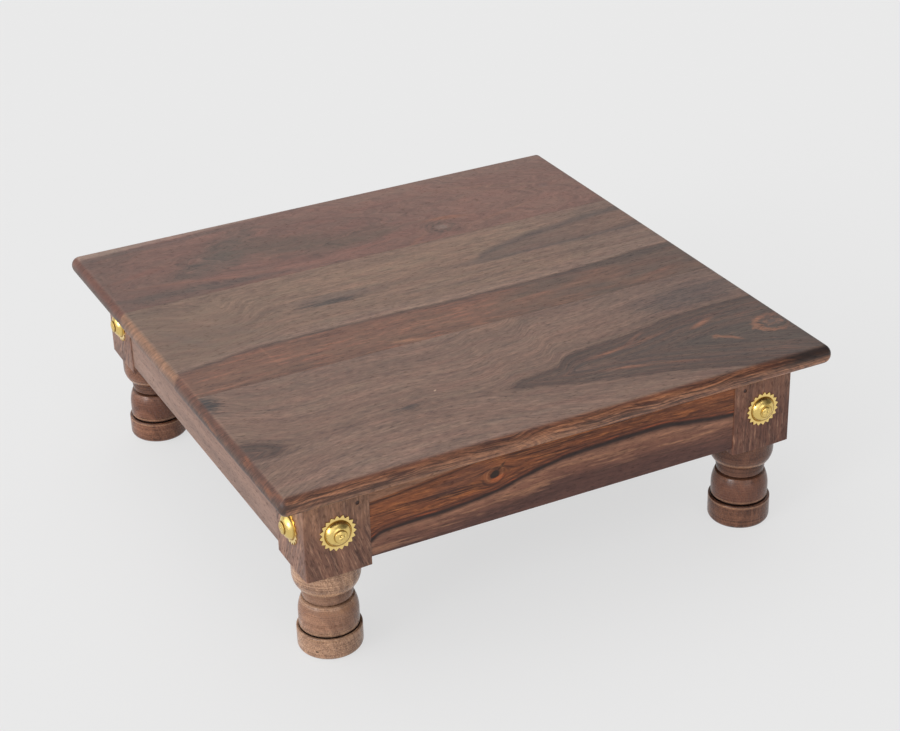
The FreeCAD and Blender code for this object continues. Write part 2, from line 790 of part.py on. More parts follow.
pins = []
top_screws = []
leg_screws = []
for name, side_x, side_y, angle in CORNERS:
    post = leg("leg_" + name)
    seat(post, leg_x * side_x, leg_y * side_y, 0, quarter_turn(angle))
    parts.append(post)
    block = corner_block("corner_block_" + name)
    seat(block, inner_x * side_x, inner_y * side_y, top_underside, quarter_turn(angle))
    parts.append(block)

    # Screws up into the top, heads flush with the block's underside
    upwards = FreeCAD.Rotation(FreeCAD.Vector(1, 0, 0), 180)
    head_height = top_underside - s["block_thickness"]
    for order, (along_x, along_y) in enumerate((
            (s["top_screw_along"], s["top_screw_inset"]),
            (s["top_screw_inset"], s["top_screw_along"])), 1):
        screw = wood_screw("top_screw_%s_%d" % (name, order), s["top_screw_length"])
        seat(screw, (inner_x - along_x) * side_x, (inner_y - along_y) * side_y,
             head_height, upwards)
        top_screws.append(screw)

    # Screw through the block into the leg's inner corner
    screw = wood_screw("leg_screw_" + name, s["leg_screw_length"])
    head_x = (inner_x - block_face / diagonal) * side_x
    head_y = (inner_y - block_face / diagonal) * side_y
    inwards = quarter_turn(angle + 45) * FreeCAD.Rotation(FreeCAD.Vector(0, 1, 0), 90)
    seat(screw, head_x, head_y, leg_screw_height, inwards)
    leg_screws.append(screw)

# A rosette, a nail and a tenon pin on each outer leg face
FACES = (
    ("front_left", "front", -1, -1, 0, 1),
    ("front_right", "front", 1, -1, 0, -1),
    ("front_right", "side", 1, -1, 90, 1),
    ("back_right", "side", 1, 1, 90, -1),
    ("back_right", "back", 1, 1, 180, 1),
    ("back_left", "back", -1, 1, 180, -1),
    ("back_left", "side", -1, 1, 270, 1),
    ("front_left", "side", -1, -1, 270, -1),
)
pin_offset = half_leg - s["pin_from_shoulder"]
for name, face, side_x, side_y, angle, toward in FACES:
    along_y = angle in (90, 270)
    out_x = half_leg * side_x if along_y else 0
    out_y = 0 if along_y else half_leg * side_y
    x = leg_x * side_x + out_x
    y = leg_y * side_y + out_y
    plate = rosette("rosette_%s_%s" % (name, face))
    seat(plate, x, y, rosette_height, face_turn(angle))
    parts.append(plate)
    nail = rosette_nail("rosette_nail_%s_%s" % (name, face))
    seat(nail, x, y, rosette_height, face_turn(angle))
    parts.append(nail)
    pin = tenon_pin("tenon_pin_%s_%s" % (name, face))
    if along_y:
        pin_x = (leg_x + half_leg - s["pin_sinking"]) * side_x
        pin_y = (leg_y - pin_offset) * side_y
    else:
        pin_x = (leg_x - pin_offset) * side_x
        pin_y = (leg_y + half_leg - s["pin_sinking"]) * side_y
    seat(pin, pin_x, pin_y, pin_height, face_turn(angle))
    pins.append(pin)

parts.append(group("tenon_pins", pins))
parts.append(group("top_screws", top_screws))
parts.append(group("leg_screws", leg_screws))

doc.recompute()

# Nothing is written unless every object computed well
for thing in doc.Objects:
    if "Invalid" in thing.State or "Error" in thing.State:
        raise ValueError("%s did not compute: %s" % (thing.Label, thing.State))
for piece in parts:
    if piece.Shape.isNull() or not piece.Shape.isValid():
        raise ValueError("%s has no valid shape" % piece.Label)

os.makedirs("parts", exist_ok=True)
for piece in parts:
    piece.Shape.exportStep("parts/%s.step" % piece.Label)
    print("%-32s %2d solids %12.1f mm3" % (
        piece.Label, len(piece.Shape.Solids), piece.Shape.Volume))
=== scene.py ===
import math
from contextlib import contextmanager

import bmesh
import bpy
from mathutils import Matrix, Vector


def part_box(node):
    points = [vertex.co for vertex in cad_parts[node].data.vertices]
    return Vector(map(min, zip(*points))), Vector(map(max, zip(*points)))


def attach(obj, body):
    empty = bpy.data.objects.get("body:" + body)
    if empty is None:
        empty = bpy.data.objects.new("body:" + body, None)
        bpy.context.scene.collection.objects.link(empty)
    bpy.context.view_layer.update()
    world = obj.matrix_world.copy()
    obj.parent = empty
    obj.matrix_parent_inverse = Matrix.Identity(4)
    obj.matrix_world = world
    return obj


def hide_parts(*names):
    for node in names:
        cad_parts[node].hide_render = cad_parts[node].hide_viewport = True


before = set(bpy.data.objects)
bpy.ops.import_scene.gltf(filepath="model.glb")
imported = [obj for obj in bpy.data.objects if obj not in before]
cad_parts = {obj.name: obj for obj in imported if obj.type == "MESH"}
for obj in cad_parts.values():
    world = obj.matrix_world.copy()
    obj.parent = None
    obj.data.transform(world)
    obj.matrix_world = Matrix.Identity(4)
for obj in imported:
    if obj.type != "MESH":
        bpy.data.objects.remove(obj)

bl_info = {
    "name": "Bajot low table",
    "version": (1, 0, 0),
    "blender": (4, 5, 0),
    "location": "3D View > Sidebar > Low table",
    "description": "Dresses the packed low table in oiled hardwood and brass",
    "category": "Object",
}

MM = 0.001
ROUND = math.tau
LEGS = ("front_left", "front_right", "back_right", "back_left")
BOARDS = ("front", "middle", "back")


def joined_box(names):
    """Lowest and highest corner of several nodes together."""
    boxes = [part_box(name) for name in names]
    low = Vector([min(box[0][axis] for box in boxes) for axis in range(3)])
    high = Vector([max(box[1][axis] for box in boxes) for axis in range(3)])
    return low, high


TOP_LOW, TOP_HIGH = joined_box(["top_board_" + name for name in BOARDS])
LEG_LOW, LEG_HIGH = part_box("leg_front_left")
LEG_SIDE = LEG_HIGH.x - LEG_LOW.x
LEG_X = abs(LEG_LOW.x + LEG_HIGH.x) / 2
LEG_Y = abs(LEG_LOW.y + LEG_HIGH.y) / 2
APRON_LOW, APRON_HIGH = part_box("apron_front")
PLATE_LOW, PLATE_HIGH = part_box("rosette_front_left_front")
PLATE_HEIGHT = (PLATE_LOW.z + PLATE_HIGH.z) / 2
NAIL_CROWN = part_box("rosette_nail_front_left_front")[0].y


# Sizes and colours that a user would change

def length(name, description, default):
    """A length in metres, given in millimetres."""
    return bpy.props.FloatProperty(name=name, description=description, default=default * MM,
                                   unit="LENGTH", min=0)


def tone(red, green, blue):
    """A screen colour from 0 to 255 as the linear values that a material takes."""
    shares = [level / 255 for level in (red, green, blue)]
    return tuple(v / 12.92 if v <= 0.04045 else ((v + 0.055) / 1.055) ** 2.4 for v in shares)


def count(name, description, default, least):
    return bpy.props.IntProperty(name=name, description=description, default=default, min=least)


def number(name, description, default):
    return bpy.props.FloatProperty(name=name, description=description, default=default)


def colour(name, description, default):
    """A colour given by its levels on a screen, from 0 to 255."""
    return bpy.props.FloatVectorProperty(name=name, description=description, size=3,
                                         subtype="COLOR", min=0, max=1, default=tone(*default))


class TopSizes(bpy.types.PropertyGroup):
    """The square top and its rounded edge."""
    nose_inset: length("Nose inset", "How far the rounded edge reaches in over the face", 5.5)
    corner_radius: length("Corner radius", "Rounding of the corners in plan, at mid thickness", 5)
    corner_arris: length("Corner arris", "Rounding of the corners in plan, at the faces", 1.8)
    face_arris: length("Face arris", "Softened line between face and rounded edge", 0.9)
    seam_arris: length("Seam arris", "Softened line where two boards meet", 0.12)
    nose_steps: count("Nose steps", "Strips round the edge", 16, 4)


class LegSizes(bpy.types.PropertyGroup):
    """Heights and radii of the turned foot, from the floor up, and the pin holes."""
    steps: count("Steps", "Facets round the foot", 96, 24)
    base_radius: length("Base radius", "Base ring", 24.1)
    base_height: length("Base height", "Height of the base ring", 19.5)
    base_bottom_round: length("Base bottom round", "Rounded lower edge of the base", 4.3)
    base_top_round: length("Base top round", "Rounded upper edge of the base", 1.2)
    groove_height: length("Groove height", "Scorched groove under the bulb", 0.8)
    groove_depth: length("Groove depth", "How deep the scorched groove is", 1.6)
    bulb_radius: length("Bulb radius", "Bulb at its widest", 22.2)
    bulb_top_radius: length("Bulb top radius", "Bulb at its upper end", 19.5)
    bulb_height: length("Bulb height", "Height of the bulb", 21.9)
    bulb_straight: length("Bulb straight", "Straight lower part of the bulb", 9.7)
    bulb_round: length("Bulb round", "Rounded lower edge of the bulb", 0.9)
    neck_groove: length("Neck groove", "Groove between bulb and neck", 2.2)
    neck_groove_depth: length("Neck groove depth", "Depth of that groove", 1.7)
    neck_radius: length("Neck radius", "Neck at both its ends", 18.5)
    neck_swell: length("Neck swell", "How far the neck swells between its ends", 0.5)
    neck_height: length("Neck height", "Height of the neck", 8)
    lip_height: length("Lip height", "Lip under the bead", 0.6)
    bead_undercut: length("Bead undercut", "How far the bead draws in at its foot", 4.2)
    bead_round: length("Bead round", "Rounded lower part of the bead", 11)
    bead_straight: length("Bead straight", "Straight upper part of the bead", 9)
    bead_setback: length("Bead setback", "Bead inside the block's face", 0.15)
    shoulder_rise: length("Shoulder rise", "Shoulder's rise at the block's corners", 0.7)
    block_arris: length("Block arris", "Eased edges of the square block", 0.7)
    shoulder_arris: length("Shoulder arris", "Eased lower edge of the block", 0.3)
    pin_hole_radius: length("Pin hole radius", "Hole for a tenon pin", 1.6)
    pin_hole_depth: length("Pin hole depth", "Depth of a pin hole", 21)
    pin_hole_height: length("Pin hole height", "Pin holes above the floor", 127)
    pin_hole_offset: length("Pin hole offset", "Pin holes beside the leg's middle", 16.25)
    left_groove_shift: length("Left groove shift", "Scorched groove of the left legs, lower", 1)
    right_groove_shift: length("Right groove shift", "Scorched groove of the right legs, higher", 1.1)


class RailSizes(bpy.types.PropertyGroup):
    """Aprons and their tenons."""
    tenon_length: length("Tenon length", "How far a tenon goes into the leg", 21)
    tenon_thickness: length("Tenon thickness", "Thickness of the tenon", 8)
    tenon_top_shoulder: length("Top shoulder", "Shoulder above the tenon", 10)
    tenon_bottom_shoulder: length("Bottom shoulder", "Shoulder below the tenon", 6)
    mortise_gap: length("Mortise gap", "Room round a tenon in its mortise", 0.1)
    arris: length("Arris", "Eased edges of the aprons", 0.7)


class BrassSizes(bpy.types.PropertyGroup):
    """Rosettes and their nails."""
    teeth: count("Teeth", "Teeth of a rosette", 19, 3)
    tooth_steps: count("Tooth steps", "Facets on each flank of a tooth", 6, 2)
    root_radius: length("Root radius", "Rosette between its teeth", 11.8)
    sheet: length("Sheet", "Thickness of the brass sheet", 0.8)
    dome_radius: length("Dome radius", "Foot of the dome", 10)
    dome_round: length("Dome round", "Rounding of the dome's flank", 7)
    seat_radius: length("Seat radius", "Flat seat under the nail's head", 4.9)
    hole_radius: length("Hole radius", "Hole for the nail", 1.5)
    head_radius: length("Head radius", "Head of the nail", 4.7)
    shank_radius: length("Shank radius", "Shank of the nail", 1.2)
    nail_depth: length("Nail depth", "Nail in the leg", 18)
    point_length: length("Point length", "Tapered point of the nail", 3)


class FinishSettings(bpy.types.PropertyGroup):
    """Stains over the wood's own colours, and the metals."""
    top_stain: colour("Top stain", "Tints the top boards; white leaves them as they are", (255, 255, 255))
    frame_stain: colour("Frame stain", "Tints legs and aprons; white leaves them as they are",
                        (255, 255, 255))
    block_stain: colour("Block stain", "Tints the corner blocks; white leaves them as they are",
                        (255, 255, 255))
    top_gloss: bpy.props.FloatProperty(name="Top roughness", description="Roughness of the waxed top",
                                       default=0.46, min=0.05, max=1)
    brass: colour("Brass", "Rosettes and nails", (245, 214, 138))
    steel: colour("Steel", "Wood screws", (178, 178, 180))


class StageSettings(bpy.types.PropertyGroup):
    """Camera, floor and light."""
    azimuth: number("Azimuth", "Camera round the table, degrees", -26.396)
    elevation: number("Elevation", "Camera's downward look, degrees", 27.867)
    roll: number("Roll", "Camera's tilt, degrees", -1.7225)
    place: bpy.props.FloatVectorProperty(name="Place", description="Where the camera stands",
                                         size=3, subtype="TRANSLATION",
                                         default=(-0.6365, -1.31325, 0.86877))
    lens: number("Lens", "Focal length in mm", 81.93)
    floor_colour: colour("Floor", "Pale floor", (231, 231, 231))
    floor_side: length("Floor side", "Side of the floor", 30000)


# Materials written as arithmetic

class Wire:
    """A value or colour inside a material; sums on it add their Math nodes."""

    def __init__(self, finish, socket):
        self.finish = finish
        self.socket = socket

    def __add__(self, other):
        return self.finish.math("ADD", self, other)

    __radd__ = __add__

    def __sub__(self, other):
        return self.finish.math("SUBTRACT", self, other)

    def __rsub__(self, other):
        return self.finish.math("SUBTRACT", other, self)

    def __mul__(self, other):
        return self.finish.math("MULTIPLY", self, other)

    def __truediv__(self, other):
        return self.finish.math("DIVIDE", self, other)

    def __pow__(self, other):
        return self.finish.math("POWER", self, other)

    def __abs__(self):
        return self.finish.math("ABSOLUTE", self)


def set_stops(ramp, stops):
    """Give a colour ramp its stops: (place, screen colour)."""
    while len(ramp.elements) > 1:
        ramp.elements.remove(ramp.elements[-1])
    for order, (place, shade) in enumerate(stops):
        stop = ramp.elements[0] if order == 0 else ramp.elements.new(place)
        stop.position = place
        stop.color = (*tone(*shade), 1)


def set_points(mapping, points):
    """Draw the line of a curve node through the points."""
    mapping.use_clip = False
    mapping.extend = "HORIZONTAL"
    curve = mapping.curves[0]
    while len(curve.points) > 2:
        curve.points.remove(curve.points[1])
    for order, (across, up) in enumerate(points):
        if order < 2:
            curve.points[order].location = (across, up)
        else:
            curve.points.new(across, up)
    for point in curve.points:
        point.handle_type = "AUTO_CLAMPED"
    mapping.update()


class Finish:
    """The node tree of a material or of the world, in the making."""

    def __init__(self, owner):
        self.owner = owner
        owner.use_nodes = True
        self.tree = owner.node_tree
        self.tree.nodes.clear()
        self.shade = None

    def feed(self, socket, value):
        """Link a wire to a socket or set its value; a tuple on a colour holds screen levels."""
        if isinstance(value, Wire):
            self.tree.links.new(value.socket, socket)
        elif isinstance(value, (int, float)):
            socket.default_value = value
        elif socket.type == "RGBA":
            socket.default_value = (*(tone(*value) if isinstance(value, tuple) else value), 1)
        else:
            socket.default_value = tuple(value)

    def node(self, kind, settings=None, inputs=None, output=0):
        """Add a node: its settings first, then the values or links of its sockets."""
        made = self.tree.nodes.new(kind)
        for name, value in (settings or {}).items():
            if name == "stops":
                set_stops(made.color_ramp, value)
            elif name == "points":
                set_points(made.mapping, value)
            else:
                setattr(made, name, value)
        for name, value in (inputs or {}).items():
            self.feed(made.inputs[name], value)
        return Wire(self, made.outputs[output]) if len(made.outputs) else made

    def math(self, operation, *values):
        return self.node("ShaderNodeMath", {"operation": operation}, dict(enumerate(values)))

    def larger(self, first, second):
        return self.math("MAXIMUM", first, second)

    def smaller(self, first, second):
        return self.math("MINIMUM", first, second)

    def rise(self, value, low, high):
        """0 below low, 1 above high, and smooth between."""
        return self.node("ShaderNodeMapRange", {"interpolation_type": "SMOOTHSTEP"},
                         {"Value": value, "From Min": low, "From Max": high})

    def ridge(self, value, centre, half_width):
        """1 where value is at centre, falling to 0 at half_width from it."""
        return 1 - self.rise(abs(value - centre), 0, half_width)

    def vector(self, x, y, z):
        return self.node("ShaderNodeCombineXYZ", None, {"X": x, "Y": y, "Z": z})

    def split(self, vector):
        made = self.node("ShaderNodeSeparateXYZ", None, {0: vector}).socket.node
        return [Wire(self, socket) for socket in made.outputs]

    def mix(self, share, first, second):
        """Colour between first, at share 0, and second, at share 1."""
        settings = {"data_type": "RGBA", "clamp_factor": True}
        return self.node("ShaderNodeMix", settings, {0: share, 6: first, 7: second}, output=2)

    def lay(self, share, over):
        """Lay a colour over the shade in hand, by its share."""
        self.shade = self.mix(share, self.shade, over)

    def tint(self, shade, factors):
        """Multiply a colour by three factors."""
        return self.node("ShaderNodeVectorMath", {"operation": "MULTIPLY"}, {0: shade, 1: factors})

    def noise(self, x, y, z, detail=2, roughness=0.5):
        """Cloudy noise about 0, on coordinates counted in its own cells."""
        inputs = {"Vector": self.vector(x, y, z), "Scale": 1, "Detail": detail,
                  "Roughness": roughness}
        return (self.node("ShaderNodeTexNoise", None, inputs) - 0.5) * 2

    def curve(self, value, points):
        """Line drawn through the given points: points are (share along, share up)."""
        low = min(up for _, up in points)
        tall = max(up for _, up in points) - low
        shares = [(along, (up - low) / tall) for along, up in points]
        return self.node("ShaderNodeFloatCurve", {"points": shares}, {"Value": value}) * tall + low

    def round_patch(self, x, y, centre, half, tilt=0):
        """Distance from a tilted oval's centre: 0 there and 1 on its outline."""
        turn = math.radians(tilt)
        across, up = x - centre[0], y - centre[1]
        along = (across * math.cos(turn) + up * math.sin(turn)) / half[0]
        beside = (up * math.cos(turn) - across * math.sin(turn)) / half[1]
        return (along * along + beside * beside) ** 0.5

    def layers(self, depth, bands):
        """Colour by depth in mm; bands lists (depth, colour) upwards."""
        first, last = bands[0][0], bands[-1][0]
        stops = [((place - first) / (last - first), shade) for place, shade in bands]
        return self.node("ShaderNodeValToRGB", {"stops": stops},
                         {"Fac": (depth - first) / (last - first)})

    def object_place(self):
        """Object coordinates in millimetres."""
        place = self.node("ShaderNodeTexCoord", output=3)
        return [axis * 1000 for axis in self.split(place)]

    def surface(self, roughness, height, depth, metallic=0, shine=0.5):
        """Close the material with the shade in hand; height 1 stands depth mm above height 0."""
        relief = self.node("ShaderNodeBump", None, {
            "Height": height, "Strength": 1, "Distance": depth * MM})
        shader = self.node("ShaderNodeBsdfPrincipled", None, {
            "Base Color": self.shade, "Roughness": roughness, "Metallic": metallic,
            "Specular IOR Level": shine, "Normal": relief})
        self.node("ShaderNodeOutputMaterial", None, {"Surface": shader})
        return self.owner


# Tools of the bench: each works on the piece in hand

def put_down():
    """Leave edit mode and let go of every piece."""
    if bpy.context.mode != "OBJECT":
        bpy.ops.object.mode_set(mode="OBJECT")
    bpy.ops.object.select_all(action="DESELECT")


def take_up(piece):
    """Let go of every other piece and take this one in hand."""
    put_down()
    piece.select_set(True)
    bpy.context.view_layer.objects.active = piece


def named(name):
    """The piece in hand, with its name."""
    piece = bpy.context.active_object
    piece.name = name
    piece.data.name = name
    return piece


def settle():
    """Keep the shape where it stands and set the piece's own place back to the origin."""
    bpy.ops.object.transform_apply(location=True, rotation=True, scale=True)


@contextmanager
def shaping(piece):
    """Work on the piece's mesh."""
    take_up(piece)
    bpy.ops.object.mode_set(mode="EDIT")
    yield
    bpy.ops.object.mode_set(mode="OBJECT")


def pick(kind, test):
    """Select only the VERT, EDGE or FACE elements that pass the test."""
    bpy.ops.mesh.select_mode(type=kind)
    bpy.ops.mesh.select_all(action="DESELECT")
    mesh = bpy.context.edit_object.data
    shape = bmesh.from_edit_mesh(mesh)
    elements = {"VERT": shape.verts, "EDGE": shape.edges, "FACE": shape.faces}[kind]
    for element in elements:
        if test(element):
            element.select_set(True)
    shape.select_flush_mode()
    bmesh.update_edit_mesh(mesh)


def move(x=0, y=0, z=0):
    bpy.ops.transform.translate(value=(x, y, z))


def extrude(x=0, y=0, z=0):
    bpy.ops.mesh.extrude_region_move(TRANSFORM_OT_translate={"value": (x, y, z)})


def resize(x, y, z, about):
    bpy.ops.transform.resize(value=(x, y, z), center_override=about)


def bevel(offset, segments):
    bpy.ops.mesh.bevel(offset=offset, segments=segments, affect="EDGES")


def face_outwards():
    bpy.ops.mesh.select_all(action="SELECT")
    bpy.ops.mesh.normals_make_consistent(inside=False)


HAIR = 0.01 * MM


def near(first, second):
    return abs(first - second) < HAIR


def runs_along(edge, axis):
    """The edge's ends differ along this axis."""
    first, second = edge.verts
    return not near(first.co[axis], second.co[axis])


def block(name, low, high):
    """Square-cut stock between two corners."""
    put_down()
    low, high = Vector(low), Vector(high)
    bpy.ops.mesh.primitive_cube_add(size=1, location=(low + high) / 2, scale=high - low)
    settle()
    return named(name)


def ring(name, radius, height, steps, fill):
    """First ring of a round piece, round Z."""
    put_down()
    bpy.ops.mesh.primitive_circle_add(vertices=steps, radius=radius, fill_type=fill,
                                      location=(0, 0, height))
    settle()
    return named(name)


def draw_on(profile):
    """Draw the first ring on through the profile, a list of (radius, height)."""
    bpy.ops.mesh.select_all(action="SELECT")
    radius, height = profile[0]
    for wide, high in profile[1:]:
        extrude(z=high - height)
        resize(wide / radius, wide / radius, 1, (0, 0, high))
        radius, height = wide, high


def turning(name, profile, steps):
    """Turned piece round Z; profile lists (radius, height) from the floor up."""
    piece = ring(name, *profile[0], steps, "NGON")
    with shaping(piece):
        draw_on(profile)
        face_outwards()
    return piece


def cut(piece, tool, operation):
    """Cut a piece with a tool piece, or keep what the two share."""
    take_up(piece)
    change = piece.modifiers.new("cut", "BOOLEAN")
    change.operation = operation
    change.object = tool
    change.solver = "EXACT"
    bpy.ops.object.modifier_apply(modifier=change.name)
    bpy.data.objects.remove(tool)


def copy_to(piece, name, place, *turns):
    """Separate copy of a piece, turned by (angle, axis) pairs and put in its place."""
    take_up(piece)
    bpy.ops.object.duplicate(linked=False)
    copy = named(name)
    matrix = Matrix.Translation(place)
    for angle, axis in turns:
        matrix = matrix @ Matrix.Rotation(angle, 4, axis)
    copy.matrix_world = matrix
    settle()
    return copy


def smooth(piece, angle):
    """Shade smooth, but keep the lines that are sharper than the angle in degrees."""
    take_up(piece)
    bpy.ops.object.shade_smooth_by_angle(angle=math.radians(angle))


def finish_piece(piece, node, material):
    """The piece takes the place of a node of the frame and material."""
    piece.data.materials.clear()
    piece.data.materials.append(material)
    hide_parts(node)
    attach(piece, "root")


def arc(centre, radius, start, end, steps):
    """Points round a centre, from one angle in degrees to another."""
    angles = [math.radians(start + (end - start) * step / steps) for step in range(steps + 1)]
    return [(centre[0] + radius * math.cos(a), centre[1] + radius * math.sin(a)) for a in angles]


def swell(upright, other, steps):
    """Arc between two points, upright at the first; listed from the first."""
    across = other[0] - upright[0]
    up = other[1] - upright[1]
    radius = (across ** 2 + up ** 2) / (2 * abs(across))
    bend = math.asin(abs(up) / radius)
    points = []
    for step in range(steps + 1):
        angle = bend * step / steps
        points.append((upright[0] + math.copysign(radius * (1 - math.cos(angle)), across),
                       upright[1] + math.copysign(radius * math.sin(angle), up)))
    return points


# The pieces

def nose_radius(sizes):
    half = (TOP_HIGH.z - TOP_LOW.z) / 2
    return (sizes.nose_inset ** 2 + half ** 2) / (2 * sizes.nose_inset)


def nose_inset(height, sizes):
    """How far the rounded edge lies inside the top's outline at a height."""
    radius = nose_radius(sizes)
    offset = min(max(height, TOP_LOW.z), TOP_HIGH.z) - (TOP_LOW.z + TOP_HIGH.z) / 2
    return radius - math.sqrt(radius ** 2 - offset ** 2)


def make_board(name, sizes):
    """One board of the top: sawn square, its free edges rounded over and mitred."""
    low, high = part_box("top_board_" + name)
    board = block("Top_board_" + name, low, high)
    outward = [Vector((-1, 0, 0)), Vector((1, 0, 0))]
    if name != "middle":
        outward.append(Vector((0, 1 if name == "back" else -1, 0)))
    reaches = [max(low.dot(side), high.dot(side)) for side in outward]
    limit = sizes.corner_radius + HAIR
    seams = [y for y in (low.y, high.y) if abs(y) < TOP_HIGH.y - limit]
    half = (high.z - low.z) / 2
    radius = nose_radius(sizes)
    bend = math.asin(half / radius)

    def beside_seam(edge, reach):
        return any(all(abs(v.co.y - y) < reach for v in edge.verts) for y in seams)

    with shaping(board):
        pick("EDGE", lambda edge: beside_seam(edge, HAIR) and not runs_along(edge, 2))
        bevel(sizes.seam_arris, 1)
        if name != "middle":
            pick("EDGE", lambda edge: runs_along(edge, 2)
                 and all(v.co.dot(outward[2]) > reaches[2] - limit for v in edge.verts))
            bevel(sizes.corner_radius, 6)
        for step in range(1, sizes.nose_steps):
            height = radius * math.sin(bend * (2 * step / sizes.nose_steps - 1))
            bpy.ops.mesh.select_all(action="SELECT")
            bpy.ops.mesh.bisect(plane_co=(0, 0, low.z + half + height), plane_no=(0, 0, 1))
        shape = bmesh.from_edit_mesh(board.data)
        heights = sorted({round(v.co.z, 7) for v in shape.verts})
        for height in heights:
            inset = nose_inset(height, sizes)
            for side, reach in zip(outward, reaches):
                pick("VERT", lambda v: near(v.co.z, height) and v.co.dot(side) > reach - limit)
                move(*(side * -inset))
            if name == "middle":
                continue
            narrow = abs(height - low.z - half) / half
            share = 1 + (sizes.corner_arris / sizes.corner_radius - 1) * narrow ** 2
            for side, reach in zip(outward[:2], reaches):
                corner = side * (reach - inset) + outward[2] * (reaches[2] - inset)
                corner.z = height
                pick("VERT", lambda v: near(v.co.z, height)
                     and v.co.dot(side) > reach - inset - limit
                     and v.co.dot(outward[2]) > reaches[2] - inset - limit)
                resize(share, share, 1, corner)
        pick("EDGE", lambda edge: not runs_along(edge, 2)
             and any(near(edge.verts[0].co.z, face) for face in (low.z, high.z))
             and not beside_seam(edge, 3 * sizes.seam_arris))
        bevel(sizes.face_arris, 3)
    smooth(board, 32)
    return board


def leg_profile(s):
    """The turned foot from the floor up, then the shoulder and a round as wide as the stock."""
    low_round = s.base_bottom_round
    line = arc((s.base_radius - low_round, low_round), low_round, -90, 0, 8)
    top_round = s.base_top_round
    line += arc((s.base_radius - top_round, s.base_height - top_round), top_round, 0, 80, 5)
    groove = s.bulb_radius - s.groove_depth
    line += [(groove, s.base_height), (groove, s.base_height + s.groove_height)]
    foot = s.base_height + s.groove_height
    line += arc((s.bulb_radius - s.bulb_round, foot + s.bulb_round), s.bulb_round, -85, 0, 4)
    line += swell((s.bulb_radius, foot + s.bulb_straight), (s.bulb_top_radius, foot + s.bulb_height), 14)
    height = foot + s.bulb_height
    pinch = s.neck_radius - s.neck_groove_depth
    line += [(pinch, height + s.neck_groove * 0.45), (pinch, height + s.neck_groove * 0.6)]
    height += s.neck_groove
    for share in (0, 0.08, 0.2, 0.35, 0.5, 0.65, 0.8, 0.92, 1):
        full = s.neck_swell * (1 - (2 * share - 1) ** 2)
        line.append((s.neck_radius + full, height + s.neck_height * share))
    height += s.neck_height
    bead = LEG_SIDE / 2 - s.bead_setback
    lip = bead - s.bead_undercut
    line += [(lip - s.lip_height, height), (lip, height + s.lip_height)]
    height += s.lip_height
    line += swell((bead, height + s.bead_round), (lip, height), 12)[::-1][1:]
    height += s.bead_round + s.bead_straight
    line.append((bead, height))
    corner = LEG_SIDE / 2 * math.sqrt(2)
    wide = corner + MM
    line.append((wide, height + s.shoulder_rise * (wide - bead) / (corner - bead)))
    line.append((wide, LEG_HIGH.z + 3 * MM))
    return line


def drill(piece, s, place, angle, axis):
    """Bore a pin hole into a leg from its mouth, along +Z turned by the angle."""
    bit = turning("bit", [(s.pin_hole_radius, -MM), (s.pin_hole_radius, s.pin_hole_depth)], 24)
    bit.matrix_world = Matrix.Translation(place) @ Matrix.Rotation(angle, 4, axis)
    cut(piece, bit, "DIFFERENCE")


def make_leg(s, rails):
    """One leg round Z: turned foot, square block and two mortises, for the front left corner."""
    post = turning("Leg", leg_profile(s), s.steps)
    half = LEG_SIDE / 2
    stock = block("stock", (-half, -half, -half), (half, half, LEG_HIGH.z))
    with shaping(stock):
        pick("EDGE", lambda edge: runs_along(edge, 2))
        bevel(s.block_arris, 2)
    cut(post, stock, "INTERSECT")
    gap = rails.mortise_gap
    side = rails.tenon_thickness / 2 + gap
    middle = APRON_LOW.y + LEG_Y + (APRON_HIGH.y - APRON_LOW.y) / 2
    low = APRON_LOW.z + rails.tenon_bottom_shoulder - gap
    high = APRON_HIGH.z - rails.tenon_top_shoulder + gap
    deep = half - rails.tenon_length - gap
    right = block("mortise", (deep, middle - side, low), (half + MM, middle + side, high))
    cut(post, right, "DIFFERENCE")
    back = block("mortise", (middle - side, deep, low), (middle + side, half + MM, high))
    cut(post, back, "DIFFERENCE")
    drill(post, s, (s.pin_hole_offset, -half, s.pin_hole_height), -ROUND / 4, "X")
    drill(post, s, (-half, s.pin_hole_offset, s.pin_hole_height), ROUND / 4, "Y")
    smooth(post, 30)
    return post


def shift_groove(leg, s, amount):
    """Move the scorched groove of one leg up or down its foot, with the rounded edges beside it."""
    low = s.base_height - s.base_top_round - 10 * HAIR
    high = s.base_height + s.groove_height + s.bulb_round + 10 * HAIR
    with shaping(leg):
        pick("VERT", lambda v: low < v.co.z < high)
        move(z=amount)


def make_rail(name, low, high, rails):
    """Apron between two legs along X, with a tenon on each end."""
    rail = block(name, low, high)
    with shaping(rail):
        pick("EDGE", lambda edge: runs_along(edge, 0))
        bevel(rails.arris, 2)
        wide = rails.tenon_thickness / (high.y - low.y)
        top, bottom = rails.tenon_top_shoulder, rails.tenon_bottom_shoulder
        tall = 1 - (top + bottom) / (high.z - low.z)
        for end, way in ((low.x, -1), (high.x, 1)):
            pick("FACE", lambda face: face.normal.x * way > 0.9)
            extrude()
            resize(1, wide, tall, (end, (low.y + high.y) / 2, (low.z + high.z) / 2))
            move(z=(bottom - top) / 2)
            extrude(x=rails.tenon_length * way)
        face_outwards()
    smooth(rail, 30)
    return rail


TOOTH_SPREAD = 0.006    # the shortest tooth is short of the longest by twice this share
TOOTH_TURN = 5.3        # scatters long and short teeth round the rosette
CREASE_DEPTH = 0.3      # crease round the dome, as a share of the sheet
WALL = 0.96             # solid wall, as a share of the sheet, so that it stays clear of the wood


